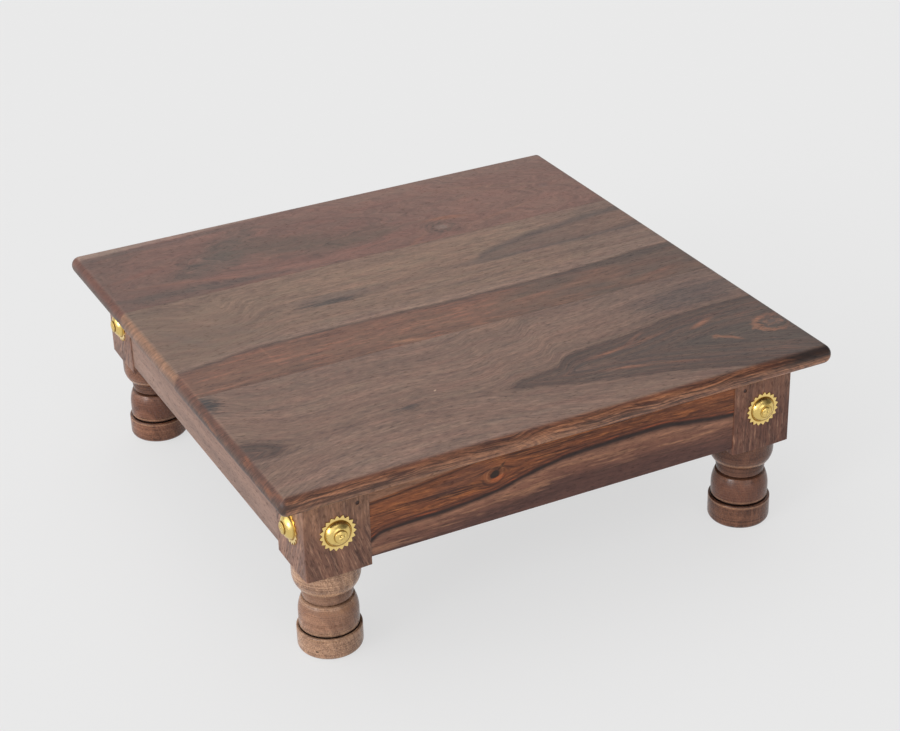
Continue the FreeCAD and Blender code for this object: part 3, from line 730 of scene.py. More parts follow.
def make_rosette(s):
    """Toothed rosette of thin sheet with its back at z = 0 and its dome towards +Z."""
    tip = (PLATE_HIGH.x - PLATE_LOW.x) / 2
    top = PLATE_HIGH.y - PLATE_LOW.y
    steps = s.teeth * s.tooth_steps * 2
    drop = top - s.sheet
    width = s.dome_radius - s.seat_radius
    chord = math.hypot(width, drop)
    lift = math.sqrt(s.dome_round ** 2 - chord ** 2 / 4) / chord
    centre = ((s.seat_radius + s.dome_radius) / 2 - drop * lift, (top + s.sheet) / 2 - width * lift)
    start = math.degrees(math.atan2(top - centre[1], s.seat_radius - centre[0]))
    end = math.degrees(math.atan2(s.sheet - centre[1], s.dome_radius - centre[0]))
    profile = [(s.hole_radius, top)] + arc(centre, s.dome_round, start, end, 12)
    crease = s.sheet * CREASE_DEPTH
    profile[-1] = (s.dome_radius, s.sheet - crease)
    profile += [(s.dome_radius + crease, s.sheet), (s.root_radius, s.sheet)]
    plate = ring("Rosette", *profile[0], steps, "NOTHING")
    with shaping(plate):
        bpy.ops.mesh.select_mode(type="EDGE")
        draw_on(profile)
        extrude()
        outline = [v.index for v in bmesh.from_edit_mesh(plate.data).verts if v.select]
        for order in range(steps):
            tooth, step = divmod(order, s.tooth_steps * 2)
            share = 1 - abs(step / s.tooth_steps - 1)
            reach = tip * (1 - TOOTH_SPREAD * (1 + math.sin(tooth * TOOTH_TURN)))
            wanted = s.root_radius + (reach - s.root_radius) * share
            angle = (order - steps / 4) * ROUND / steps
            ray = Vector((math.cos(angle), math.sin(angle)))
            pick("VERT", lambda v: v.index in outline and v.co.xy.normalized().dot(ray) > 0.99999)
            resize(wanted / s.root_radius, wanted / s.root_radius, 1, (0, 0, s.sheet))
        face_outwards()
        shape = bmesh.from_edit_mesh(plate.data)
        if sum(face.normal.z for face in shape.faces) < 0:
            bpy.ops.mesh.flip_normals()
    take_up(plate)
    wall = plate.modifiers.new("wall", "SOLIDIFY")
    wall.thickness = s.sheet * WALL
    wall.offset = -1
    bpy.ops.object.modifier_apply(modifier=wall.name)
    smooth(plate, 28)
    return plate


def make_nail(name, s, head, dents):
    """Nail with the leg's face at z = 0; its head sits on the rosette and bears punch marks."""
    seat = PLATE_HIGH.y - PLATE_LOW.y
    high = PLATE_HIGH.y - NAIL_CROWN
    edge = seat + (high - seat) / 2
    crown = high - edge
    bend = (head ** 2 + crown ** 2) / (2 * crown)
    blunt, under, rim, rings = s.shank_radius * 0.1, 0.25 * MM, 0.12 * MM, 12
    profile = [(blunt, -s.nail_depth), (s.shank_radius, s.point_length - s.nail_depth)]
    profile += [(s.shank_radius, seat), (head * 0.93, seat), (head, seat + under)]
    profile.append((head, edge - 0.1 * MM))
    for step in range(rings):
        radius = head - rim if step == 0 else head * (1 - step / rings)
        profile.append((radius, high - bend + math.sqrt(bend ** 2 - radius ** 2)))
    nail = turning(name, profile, 48)
    with shaping(nail):
        for x, y, size, depth in dents:
            centre = Vector((x, y)) * MM
            near_dent = size * 0.45 * MM
            pick("VERT", lambda v: v.co.z > edge and (v.co.xy - centre).length < near_dent)
            bpy.ops.transform.translate(
                value=(0, 0, -depth * MM), use_proportional_edit=True,
                proportional_edit_falloff="SMOOTH", proportional_size=size * MM)
    smooth(nail, 40)
    return nail


# Wood: places and the cells of the noises are in mm, and a noise's third value holds its seed

HARSH = {"detail": 3, "roughness": 0.7}    # crisp, grainy noise


def wood_marks(f, depth, along, seed, curl=1.1):
    """Streaks that follow the layers, from broad bands to short wavy flecks, about 0."""
    wavy = depth + f.noise(along / 13, depth / 6, seed + 2, detail=1) * curl
    broad = f.noise(depth / 7, along / 120, seed)
    streak = f.noise(wavy / 2.4, along / 34, seed + 5, detail=3, roughness=0.66)
    fleck = f.noise(wavy / 1.6, along / 8, seed + 9, detail=3, roughness=0.72)
    return broad * 0.45 + streak * 0.8 + fleck * 1.05


def pores(f, across, along, seed, least=0.2):
    """Short open vessels, 1 where one lies."""
    return f.rise(f.noise(across / 0.9, along / 5, seed, detail=1), least, least + 0.24)


def wander(f, x, y, z, seed, reach):
    """Sideways drift of the layers in mm: wide swings, then small ones."""
    wide = f.noise(x / 90, y / 34, z / 34 + seed) * reach
    small = f.noise(x / 20, y / 8, z / 8 + seed + 3) * (reach * 0.3)
    return wide + small


def oiled(f, marks, vessels, gloss, contrast, stain, shine=0.5):
    """Close a wood material: streaks tint the colour, vessels darken and roughen it."""
    stained = f.tint(f.shade, stain)
    dull = f.tint(stained, (0.60, 0.58, 0.62))
    bright = f.tint(stained, (1.42, 1.40, 1.34))
    f.shade = f.mix(marks * contrast + 0.5, dull, bright)
    f.lay(vessels * 0.65, f.tint(f.shade, (0.50, 0.46, 0.44)))
    roughness = vessels * 0.16 - marks * 0.05 + gloss
    return f.surface(roughness, marks * 0.25 - vessels * 0.6, 0.08, shine=shine)


def blush(f, x, across, seed):
    """Slow change of hue along the grain, between green-grey and rosy."""
    hue = f.noise(x / 34, across / 7, seed)
    green, rosy = f.tint(f.shade, (0.95, 1.03, 1.02)), f.tint(f.shade, (1.05, 0.97, 0.98))
    f.shade = f.mix(hue * 0.9 + 0.5, green, rosy)


def board_place(f, node, seed, reach, slant=0.8):
    """Place on a board in mm: x, y, z, drifted y, shares along and across, and the width."""
    low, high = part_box(node)
    x, y, z = f.object_place()
    across = y + wander(f, x, y, z, seed, reach) + (z - TOP_HIGH.z * 1000) * slant
    width = (high.y - low.y) * 1000
    along_share = (x - low.x * 1000) / ((high.x - low.x) * 1000)
    across_share = (across - low.y * 1000) / width
    return x, y, z, across, along_share, across_share, width


FACE_END = 219.6    # mm from the middle to where the face ends and the rounded edge starts
NOSE_START = 222    # mm from the middle to where the edge is all end grain


def edge_share(f, x, y, side):
    """1 on the rounded free edge, 0 on the faces; side is -1 front, 1 back, 0 neither."""
    share = f.rise(abs(x), FACE_END, NOSE_START)
    if side:
        share = f.larger(share, f.rise(y * side, FACE_END, NOSE_START))
    return share


def patches(f, x, y, marks, places):
    """Soft streaky ovals of another colour: centre, half sizes, tilt, colour and strength."""
    solid = 1 - f.rise(f.noise(y / 1.8, x / 16, 7.7), 0.05, 0.4) * 0.5
    for centre, half, tilt, over, strength in places:
        ragged = f.round_patch(x, y, centre, half, tilt) + marks * 0.5
        f.lay(f.rise(ragged, 1.25, 0.25) * solid * strength, over)


UPPER_FLAME = ((0, 0.52), (0.03, 0.49), (0.085, 0.40), (0.13, 0.37), (0.30, 0.40), (0.42, 0.36),
               (0.46, 0.375), (0.50, 0.422), (0.55, 0.436), (0.60, 0.526), (0.624, 0.54), (0.70, 0.56),
               (0.776, 0.595), (0.824, 0.622), (0.90, 0.636), (1, 0.629))
LOWER_FLAME = ((0, 0.285), (0.04, 0.35), (0.085, 0.41), (0.13, 0.445), (0.30, 0.485), (0.42, 0.43),
               (0.46, 0.37), (0.50, 0.339), (0.60, 0.25), (0.70, 0.18), (0.80, 0.084), (0.85, 0.03),
               (0.92, -0.05), (1, -0.15))


def front_board_wood(looks):
    """Grey-brown board with a dark flame from the right and a small one from the left."""
    f = Finish(bpy.data.materials.new("front_board_wood"))
    x, y, z, across, u, v, width = board_place(f, "top_board_front", 1.7, 2.2)
    upper = f.curve(u, UPPER_FLAME)
    lower = f.curve(u, LOWER_FLAME)
    depth = f.larger(v - upper, lower - v) * width
    depth = depth + f.rise(f.round_patch(x, across, (209, -169), (26, 19)), 1, 0) * 9
    marks = wood_marks(f, depth, x, 2.1)
    ragged = depth + marks * 1.6
    f.shade = f.layers(ragged, [
        (-70, (72, 55, 46)), (-40, (72, 57, 49)), (-33, (88, 62, 50)),
        (-28, (68, 53, 46)), (-23, (88, 62, 50)), (-19, (66, 51, 45)),
        (-13, (84, 58, 47)), (-9, (68, 50, 42)), (-6, (80, 56, 45)), (-3.5, (64, 46, 38)),
        (-0.5, (70, 46, 37)), (1.4, (94, 70, 58)), (4, (108, 82, 68)),
        (8, (102, 76, 64)), (16, (112, 86, 72)), (30, (108, 81, 68)),
        (45, (116, 89, 75)), (70, (108, 82, 69)), (110, (112, 85, 72))])
    f.lay(f.rise(x, 70, 170) * f.rise(v, 0.62, 0.75) * 0.6, (90, 69, 60))
    broken = f.rise(f.noise(depth / 2.2, x / 22, 9.1, detail=3), -0.25, 0.35)
    flow = f.ridge(ragged, -15, 4.8) * f.rise(x, 44, 70) * f.rise(x, 138, 96)
    f.lay(flow * broken * 0.9, (124, 78, 56))
    thread = f.noise(depth / 1.7, x / 40, 5.5, detail=3) * f.rise(depth, -4, -12)
    f.lay(f.rise(thread, 0.1, 0.38) * 0.5, (108, 72, 56))
    core = f.rise(depth + marks * 3, -14, -26) * f.rise(x, 60, 110)
    f.lay(core * 0.3, (64, 51, 45))
    lines = f.ridge(ragged, 5.5, 2.2) + f.ridge(ragged, 10.5, 1.8)
    f.lay(lines * f.rise(x, 60, 150) * 0.3, (78, 56, 50))
    low_left = f.rise(v, 0.44, 0.36) * f.rise(x, 120, -40)
    stripes = f.rise(f.noise(across / 4.2, x / 60, 4.4), -0.1, 0.4)
    f.lay(low_left * stripes * 0.7, (126, 98, 84))
    dashes = f.rise(f.noise(across / 1.3, x / 7, 12.9), 0.02, 0.35)
    f.lay(low_left * dashes * 0.45, (86, 62, 52))
    patches(f, x, across, marks, (
        ((180, -96), (62, 20), 4, (78, 62, 57), 0.75),
        ((161, -171), (9, 2.2), -42, (130, 86, 62), 0.85),
        ((169, -177), (8, 2.4), -52, (130, 86, 62), 0.75),
        ((160, -144), (15, 3.2), 21, (132, 86, 63), 0.85),
        ((157, -169), (5, 3), 35, (124, 82, 62), 0.75),
        ((100, -141), (20, 2.4), 30, (112, 74, 58), 0.5),
        ((-221, -74), (13, 15), 24, (36, 31, 32), 1),
        ((-93, -151), (14, 3), 2, (60, 50, 46), 0.85),
        ((20, -68), (30, 9), 3, (122, 94, 76), 0.5),
        ((56, -85), (2.6, 6), 25, (80, 56, 47), 0.7),
        ((-66, -137), (1.5, 0.9), 40, (205, 178, 150), 0.9)))
    swirl = f.round_patch(x, across, (209, -169), (18, 14), 12) + marks * 0.1
    swirl = swirl + f.noise(x / 5, across / 4, 2.4) * 0.4
    f.lay(f.ridge(swirl, 0.85, 0.3) * (f.rise(x, 224, 200) * 0.6 + 0.2), (134, 88, 64))
    f.lay(f.rise(swirl, 0.55, 0.1) * 0.6, (92, 74, 68))
    f.lay(f.ridge(swirl, 0.3, 0.12) * 0.5, (130, 90, 68))
    curl = f.round_patch(x, across, (-128, -75), (24, 13)) + marks * 0.08
    curls = f.ridge(curl, 0.9, 0.12) + f.ridge(curl, 0.5, 0.12)
    f.lay(curls * 0.3, (84, 66, 58))
    blush(f, x, across, 5.9)
    front_edge(f, x, y, z)
    return oiled(f, marks, pores(f, across, x, 3.3), looks.top_gloss, 0.95, looks.top_stain)


def front_edge(f, x, y, z):
    """Long dark and tan streaks round the front edge, red on the arris, black at the right."""
    bend = z + f.noise(x / 55, 2.6, 0.4, detail=1) * 5 + f.noise(x / 17, z / 5, 1.9) * 0.8
    fleck = f.noise(x / 26, bend / 1.1, 8.1, detail=4, roughness=0.72)
    wide = f.noise(x / 60, bend / 3.4, 5.6, detail=1)
    face = f.shade
    high = f.rise(z, 147, 155)
    dark = f.mix(high, (78, 48, 35), (70, 37, 25))
    light = f.mix(high, (158, 114, 86), (150, 99, 68))
    f.shade = f.mix(fleck * 1.9 + wide + 0.5, dark, light)
    low_band = f.rise(bend, 148.5, 146.5) * f.rise(x, 80, -40)
    f.lay(low_band * 0.6, f.mix(fleck * 1.2 + 0.5, (104, 76, 60), (146, 114, 92)))
    lines = f.rise(f.noise(x / 70, bend / 1.3, 3.3), 0.1, 0.3)
    f.lay(lines * 0.75, (50, 28, 20))
    arris = f.rise(z + fleck * 1.6, 155, 156.4) * f.rise(wide + fleck * 0.4, -0.3, 0.3)
    f.lay(arris * 0.8, (70, 33, 23))
    f.lay(f.rise(z, 150.5, 145), f.tint(f.shade, (1.3, 1.12, 0.92)))
    black = f.rise(x + wide * 20, 160, 196) * f.rise(z + wide * 2, 148, 152.5)
    f.lay(black * 0.92, (26, 17, 16))
    f.lay(f.rise(x, -219.5, -NOSE_START), end_wood(f, y, z))
    f.shade = f.mix(edge_share(f, x, y, -1), face, f.shade)


def end_wood(f, y, z):
    """End grain of the boards: tan rim on the middle board, red and dark on the others."""
    fleck = f.noise(y / 5, z / 2.2, 5.2, **HARSH)
    cloud = f.noise(y / 22, z / 6, 3.9)
    middle = f.rise(y, -26, -22) * f.rise(y, 99.5, 97)
    low = f.mix(middle, (78, 56, 46), (116, 88, 72))
    high = f.mix(middle, (92, 58, 44), (140, 104, 80))
    rim = f.mix(f.rise(z, 149, 156), low, high)
    dull, bright = f.tint(rim, (0.54, 0.51, 0.5)), f.tint(rim, (1.1, 1.07, 1.05))
    rim = f.mix(fleck * 0.9 + cloud * 0.6 + 0.5, dull, bright)
    rim = f.mix(f.rise(y, -60, -66) * f.rise(cloud, 0, 0.4) * 0.6, rim, (122, 72, 44))
    rim = f.mix(f.rise(y, 97, 100) * f.rise(z, 150, 154) * 0.5, rim, (96, 54, 42))
    return f.mix(f.ridge(z, 144.4, 2.2) * 0.4, rim, (146, 112, 88))


UPPER_TONGUE = ((0, 0.645), (0.55, 0.648), (0.645, 0.668), (0.66, 0.715), (0.70, 0.76), (0.75, 0.80),
                (0.85, 0.845), (0.925, 0.87), (1, 0.88))
LOWER_TONGUE = ((0, 0.652), (0.55, 0.65), (0.645, 0.632), (0.75, 0.628), (1, 0.634))
VEIN = ((0, 0.262), (0.09, 0.295), (0.16, 0.325), (0.30, 0.331), (0.40, 0.332), (0.50, 0.312),
        (0.65, 0.306), (0.80, 0.325), (0.90, 0.352), (1, 0.365))


def middle_board_wood(looks):
    """Pale grey-brown board with an eye, a tongue at the right and a red-brown band below a vein."""
    f = Finish(bpy.data.materials.new("middle_board_wood"))
    x, y, z, across, u, v, width = board_place(f, "top_board_middle", 5.1, 2.0)
    storm = f.rise(f.round_patch(x, y, (-182, 38), (60, 62), -35), 1.1, 0.3)
    flow = across + storm * (x + 225) * 0.35 + f.noise(x / 34, y / 24, 6.6) * storm * 3
    vein = (v - f.curve(u, VEIN)) * width
    marks = wood_marks(f, flow, x - storm * across * 0.35, 7.4) * (1 - storm * 0.5)
    ragged = vein + marks
    f.shade = f.layers(ragged, [
        (-54, (98, 66, 50)), (-34, (104, 72, 56)), (-14, (108, 72, 55)),
        (-5, (104, 68, 52)), (-2.2, (86, 58, 46)), (-0.6, (78, 54, 44)),
        (0.9, (100, 75, 62)), (3, (122, 96, 82)), (20, (116, 90, 74)),
        (50, (114, 88, 73)), (80, (120, 94, 77)), (105, (114, 88, 73))])
    f.lay(f.rise(x, 90, 220) * f.rise(vein, 2, 8) * 0.6, (102, 80, 70))
    f.lay(f.rise(x, -60, -200) * f.rise(vein, 2, 8) * 0.6, (102, 80, 66))
    red = f.rise(ragged, 0, -3)
    flame = f.rise(f.noise(across / 3, x / 26, 9.2, detail=3) + marks * 0.3, 0, 0.42)
    f.lay(red * flame * f.rise(x, 200, 20) * 0.55, (132, 82, 62))
    grey = f.rise(f.noise(across / 14, x / 50, 4.7) + marks * 0.2, -0.25, 0.25)
    f.lay(red * f.rise(x, 10, 90) * grey * 0.75, (78, 63, 53))
    f.lay(red * f.rise(x, 60, 220) * 0.4, (76, 58, 50))
    crack = f.ridge(x + across * 0.1 + marks * 1.5, -152, 1.8) * f.rise(across, -52, -34)
    f.lay(red * crack * 0.4, (132, 90, 68))
    sweep = f.noise(across / 5 + x * x / 9000, x / 70, 8.1, detail=3)
    f.lay(red * f.rise(sweep, 0.02, 0.35) * 0.45, (84, 58, 48))
    f.lay(f.rise(x, 60, 130) * f.rise(vein, 0.5, -2) * f.rise(vein, -11, -6) * 0.6, (72, 56, 48))
    second = f.ridge(ragged, -8, 1.6) * f.rise(x, -20, 10) * f.rise(x, 90, 60)
    f.lay(second * 0.6, (76, 54, 46))
    tongue = f.larger(v - f.curve(u, UPPER_TONGUE), f.curve(u, LOWER_TONGUE) - v) * width
    tongue = tongue + marks * 0.9
    tongue_wood = f.mix(f.rise(x, 120, 215), (92, 70, 60), (106, 78, 64))
    f.lay(f.rise(tongue, 1, -4) * 0.85, tongue_wood)
    above = f.rise(v, 0.65, 0.69)
    outline = f.ridge(tongue, -1.5, 8) * above + f.ridge(tongue, -1, 5) * (1 - above)
    f.lay(outline * f.rise(x, 0, 100) * 0.85, (76, 60, 54))
    patches(f, x, across, marks, (
        ((-62, 42), (42, 8), -4, (96, 78, 69), 0.75),
        ((-76, 35), (32, 5), -6, (82, 65, 56), 0.85),
        ((-155, 28), (36, 6), -47, (98, 78, 68), 0.45),
        ((-196, 32), (34, 7), -55, (100, 82, 72), 0.4),
        ((-172, 52), (30, 8), -48, (126, 100, 82), 0.4),
        ((15, 18), (60, 6), -6, (100, 80, 70), 0.35),
        ((-47, -57), (17, 3), -14, (152, 108, 80), 0.75),
        ((12, -50), (48, 2.2), -17, (128, 84, 64), 0.6),
        ((-170, -54), (36, 2.4), 9, (124, 84, 66), 0.5),
        ((176, -50), (34, 3), 14, (120, 80, 62), 0.5)))
    lens = f.rise(f.round_patch(x, across, (-76, 35), (30, 5.2), -6), 1.1, 0.7)
    bars = f.rise(f.noise((across - x * 0.1) / 1.5, x / 90, 3.1), -0.1, 0.2)
    f.lay(lens * bars * 0.95, (60, 48, 45))
    blush(f, x, across, 2.9)
    end_edge(f, x, y, z, 0)
    return oiled(f, marks, pores(f, across, x, 4.6), looks.top_gloss, 0.85, looks.top_stain)


def end_edge(f, x, y, z, side):
    """Put the end grain on a board's free edges."""
    f.lay(edge_share(f, x, y, side) * 0.9, end_wood(f, y, z))


def back_board_wood(looks):
    """Red-brown board with faint rings, green-grey clouds, a knot and a pale rear edge."""
    f = Finish(bpy.data.materials.new("back_board_wood"))
    x, y, z, across = board_place(f, "top_board_back", 9.3, 6)[:4]
    oval = f.round_patch(x, across, (-64, 158), (215, 74))
    rings = oval * 62 + f.noise(x / 50, y / 20, 7.7) * 17
    knot = f.round_patch(x, across, (72, 119), (7.4, 5.6))
    rings = rings + f.rise(knot, 3, 0.4) * 12
    calm = f.rise(oval, 0, 0.3)
    marks = wood_marks(f, rings, x + across, 11.7, 1.8) * (calm * 0.4 + 0.6)
    band = f.noise(rings / 9, x / 260, 3.8) * calm
    f.shade = f.mix(f.rise(band, -0.45, 0.45), (88, 64, 55), (112, 76, 65))
    f.lay(f.rise(x, 10, 120) * 0.6, (114, 80, 68))
    f.lay(f.rise(across, 190, 214) * f.rise(x, -120, 40) * 0.5, (116, 90, 78))
    red = f.rise(f.noise(rings / 5, x / 30, 12.2, detail=3), 0, 0.4)
    f.lay(red * 0.35, (118, 76, 62))
    torn = marks * 0.6 + f.noise(x / 30, across / 9, 4.2, detail=3) * 0.9
    patches(f, x, across, torn, (
        ((-106, 176), (44, 17), 38, (70, 61, 53), 0.6),
        ((-120, 152), (50, 19), 24, (70, 61, 54), 0.6),
        ((-60, 150), (62, 24), -18, (78, 62, 51), 0.65),
        ((0, 136), (44, 15), 4, (80, 64, 52), 0.55),
        ((-158, 110), (80, 8), -5, (76, 61, 54), 0.7),
        ((-90, 106), (80, 4), -7, (78, 60, 54), 0.6),
        ((-190, 158), (40, 5), 14, (120, 74, 60), 0.5),
        ((-150, 124), (76, 2.6), -14, (124, 82, 66), 0.6),
        ((82, 134), (22, 5), -8, (134, 84, 60), 0.7),
        ((40, 104), (24, 3), 38, (126, 84, 66), 0.6),
        ((135, 122), (44, 3), 16, (124, 84, 66), 0.5),
        ((150, 176), (60, 3), -22, (126, 92, 74), 0.5),
        ((160, 160), (50, 2.6), -26, (126, 92, 74), 0.4)))
    knot = knot + f.noise(x / 4.5, across / 3.5, 6.9) * 1.1 + marks * 0.2
    around = f.ridge(knot + marks * 0.25, 1.15, 0.45) + f.ridge(knot + marks * 0.2, 1.9, 0.35) * 0.5
    f.lay(around * 0.7, (72, 56, 46))
    f.lay(f.rise(knot + marks * 0.35, 0.9, 0.3) * 0.75, (116, 98, 88))
    f.lay(f.rise(x, -120, -190) * 0.7, f.tint(f.shade, (0.8, 0.85, 0.85)))
    small = f.rise(f.round_patch(x, across, (190, 155), (7, 6)), 1, 0.3)
    f.lay(small * 0.4, (80, 64, 60))
    bend = y + f.noise(x / 60, y / 12, 1.1) * 1.5 - x * 0.035
    f.lay(f.ridge(bend, 213, 6) * f.rise(x, -20, -110) * 0.6, (80, 62, 56))
    pale = f.rise(bend, 216.5, 220.5) * f.rise(x, 20, -90)
    f.lay(pale * 0.8, (138, 112, 100))
    blush(f, x, across, 8.4)
    end_edge(f, x, y, z, 1)
    return oiled(f, marks, pores(f, across, x, 8.8), looks.top_gloss, 0.65, looks.top_stain)


# Heights on the turned foot, in mm above the floor
SCORCH_HEIGHT = 19.9
BULB_TOP = 43.5
NECK_RING = 48.4
NECK_TOP = 52.2
BEAD_FOOT = 56.2
SHOULDER = 73


def leg_wood(looks, sizes):
    """Turned hardwood: fine upright streaks on the block, speckled foot, scorched groove; painted shade
    in the grooves and on the neck, painted highlights on the bead's foot and the bulb's shoulder.
    """
    f = Finish(bpy.data.materials.new("leg_wood"))
    x, y, z = f.object_place()
    left = f.rise(x, 10, -10)
    from_axis_x = abs(x) - LEG_X * 1000
    from_axis_y = abs(y) - LEG_Y * 1000
    radius = (from_axis_x ** 2 + from_axis_y ** 2) ** 0.5
    lean = f.smaller(z - 108, 0) * left * 0.28
    fair = left * f.rise(y, 10, -10)
    drift = f.noise(x / 14, y / 14, z / 80 + 2.2) * 1.2
    across = x * 0.86 + y * 0.6 + drift + lean
    marks = wood_marks(f, across, z, 21.5, 0.4)
    belt = f.noise(across / 5, z / 90, 14.3)
    rounds = f.noise(z / 0.7, across / 40, 27.1)
    low_block = f.mix(left, (97, 62, 49), (112, 78, 63))
    high_block = f.mix(left, (118, 80, 62), (130, 94, 73))
    f.shade = f.mix(f.rise(z, 96, 130), low_block, high_block)
    f.lay(f.rise(belt, 0, 0.4) * (left * 0.2 + 0.5), f.tint(f.shade, (0.62, 0.6, 0.62)))
    pale = f.rise(f.noise(across / 1.3, z / 16, 3.3, **HARSH), 0, 0.4)
    f.lay(pale * (left * 0.3 + 0.5), (158, 121, 99))
    square = f.shade
    speck = f.noise(x / 0.9, y / 0.9, z / 1.4, roughness=0.7)
    grain = f.noise(across / 2.2, z / 14, 6.6)
    dark = f.mix(fair, (68, 43, 33), (98, 69, 54))
    bright = f.mix(fair, (140, 96, 74), (188, 151, 123))
    f.shade = f.mix(speck * 0.8 + grain * 0.5 + rounds * 0.7 + 0.48, dark, bright)
    f.lay(f.rise(z, 53.5, 52) * f.rise(z, 43, 44) * fair * 0.6, (104, 70, 54))
    f.lay(f.rise(belt, -0.1, 0.45) * 0.3, f.tint(f.shade, (0.66, 0.62, 0.62)))
    rosy = f.rise(z, 21, 26) * f.rise(z, 43, 37)
    f.lay(rosy * 0.5, f.mix(fair, (96, 60, 48), (112, 72, 55)))
    # painted highlight: pale tan on the shoulder of the front left leg's bulb, stronger towards its right
    # and front
    shoulder = f.ridge(z, 39, 3.5) * f.rise(x - y, -30, 30) * fair
    f.lay(shoulder * 0.4, (160, 116, 84))
    f.lay((1 - left) * f.rise(z, 50, 60) * 0.5, (70, 44, 34))
    f.lay((1 - left) * f.rise(z, 22, 18) * 0.25, (70, 44, 34))
    foot = f.rise(z, SHOULDER + 0.3, SHOULDER - 0.3)
    f.shade = f.mix(foot, square, f.shade)
    left_shift, right_shift = sizes.left_groove_shift / MM, sizes.right_groove_shift / MM
    scorch = z - SCORCH_HEIGHT - right_shift + left * (left_shift + right_shift)
    # pale rims beside the scorched groove; the ring along the bead's foot is a painted highlight
    scorch_rims_and_bead_highlight = f.ridge(scorch, -1.9, 1) + f.ridge(scorch, 2.2, 1.1)
    scorch_rims_and_bead_highlight = f.ridge(z, BEAD_FOOT, 1.9) * 0.6 + scorch_rims_and_bead_highlight * 0.45
    f.lay(scorch_rims_and_bead_highlight * (speck * 1.2 + 0.8), (188, 146, 112))
    # painted shade: darker in the grooves at the bulb's top, the neck's top and the neck ring, less on
    # the front left leg
    painted_groove_shade = f.larger(f.ridge(z, BULB_TOP, 1.7) * 0.9, f.ridge(z, NECK_TOP, 1.5) * 0.8)
    painted_groove_shade = f.larger(painted_groove_shade, f.ridge(z, NECK_RING, 0.7) * 0.55)
    painted_groove_shade = painted_groove_shade * (1 - fair * 0.7) * f.rise(radius, 20.8, 19.6)
    f.lay(painted_groove_shade, (40, 25, 20))
    # painted shade on the neck under the bead of the three darker legs
    f.lay(f.rise(z, 44.5, 46) * f.rise(z, 53, 51) * (1 - fair) * 0.55, (64, 40, 31))
    char = f.rise(abs(scorch), 1, 0.5) * f.rise(radius, 22.9, 22.1)
    f.lay(f.larger(char * 0.96, f.ridge(scorch, 0.6, 3) * 0.3), (24, 16, 14))
    for spot, size, strength in (((-194.2, -195.6, 7.6), 1.7, 0.8), ((160, -195.6, 2), 3, 0.85)):
        away = (x - spot[0]) ** 2 + (y - spot[1]) ** 2 + ((z - spot[2]) * 1.6) ** 2
        f.lay(f.rise(away, size ** 2, 0.3) * strength, (34, 22, 20))
    dashes = pores(f, across * 0.8, z, 24.2, 0.12) * (1 - foot)
    dots = f.rise(f.noise(x / 0.75, y / 0.75, z / 1.2 + 4), 0.16, 0.4) * foot * 0.8
    gloss = 0.4 - foot * 0.14
    contrast = (1 - foot) * 0.45 + 0.5
    return oiled(f, marks, f.larger(dashes, dots), gloss, contrast, looks.frame_stain, 0.35)


FRONT_APRON = (LEG_X * 2 - LEG_SIDE) * 1000    # mm of the front apron between its legs
APRON_VEIN = ((0, 0.22), (0.04, 0.295), (0.117, 0.32), (0.19, 0.325), (0.263, 0.347), (0.337, 0.393),
              (0.41, 0.482), (0.483, 0.545), (0.557, 0.59), (0.63, 0.60), (0.703, 0.608), (0.777, 0.61),
              (0.85, 0.572), (0.923, 0.524), (1, 0.482))
APRON_SHADOW = ((0, 0.02), (0.25, 0.05), (0.40, 0.17), (0.50, 0.215), (0.60, 0.24), (0.70, 0.245),
                (0.85, 0.215), (1, 0.19))
APRON_SAP = ((0, 0.711), (0.12, 0.77), (0.234, 0.83), (0.32, 0.93), (0.45, 1.1), (1, 1.3))


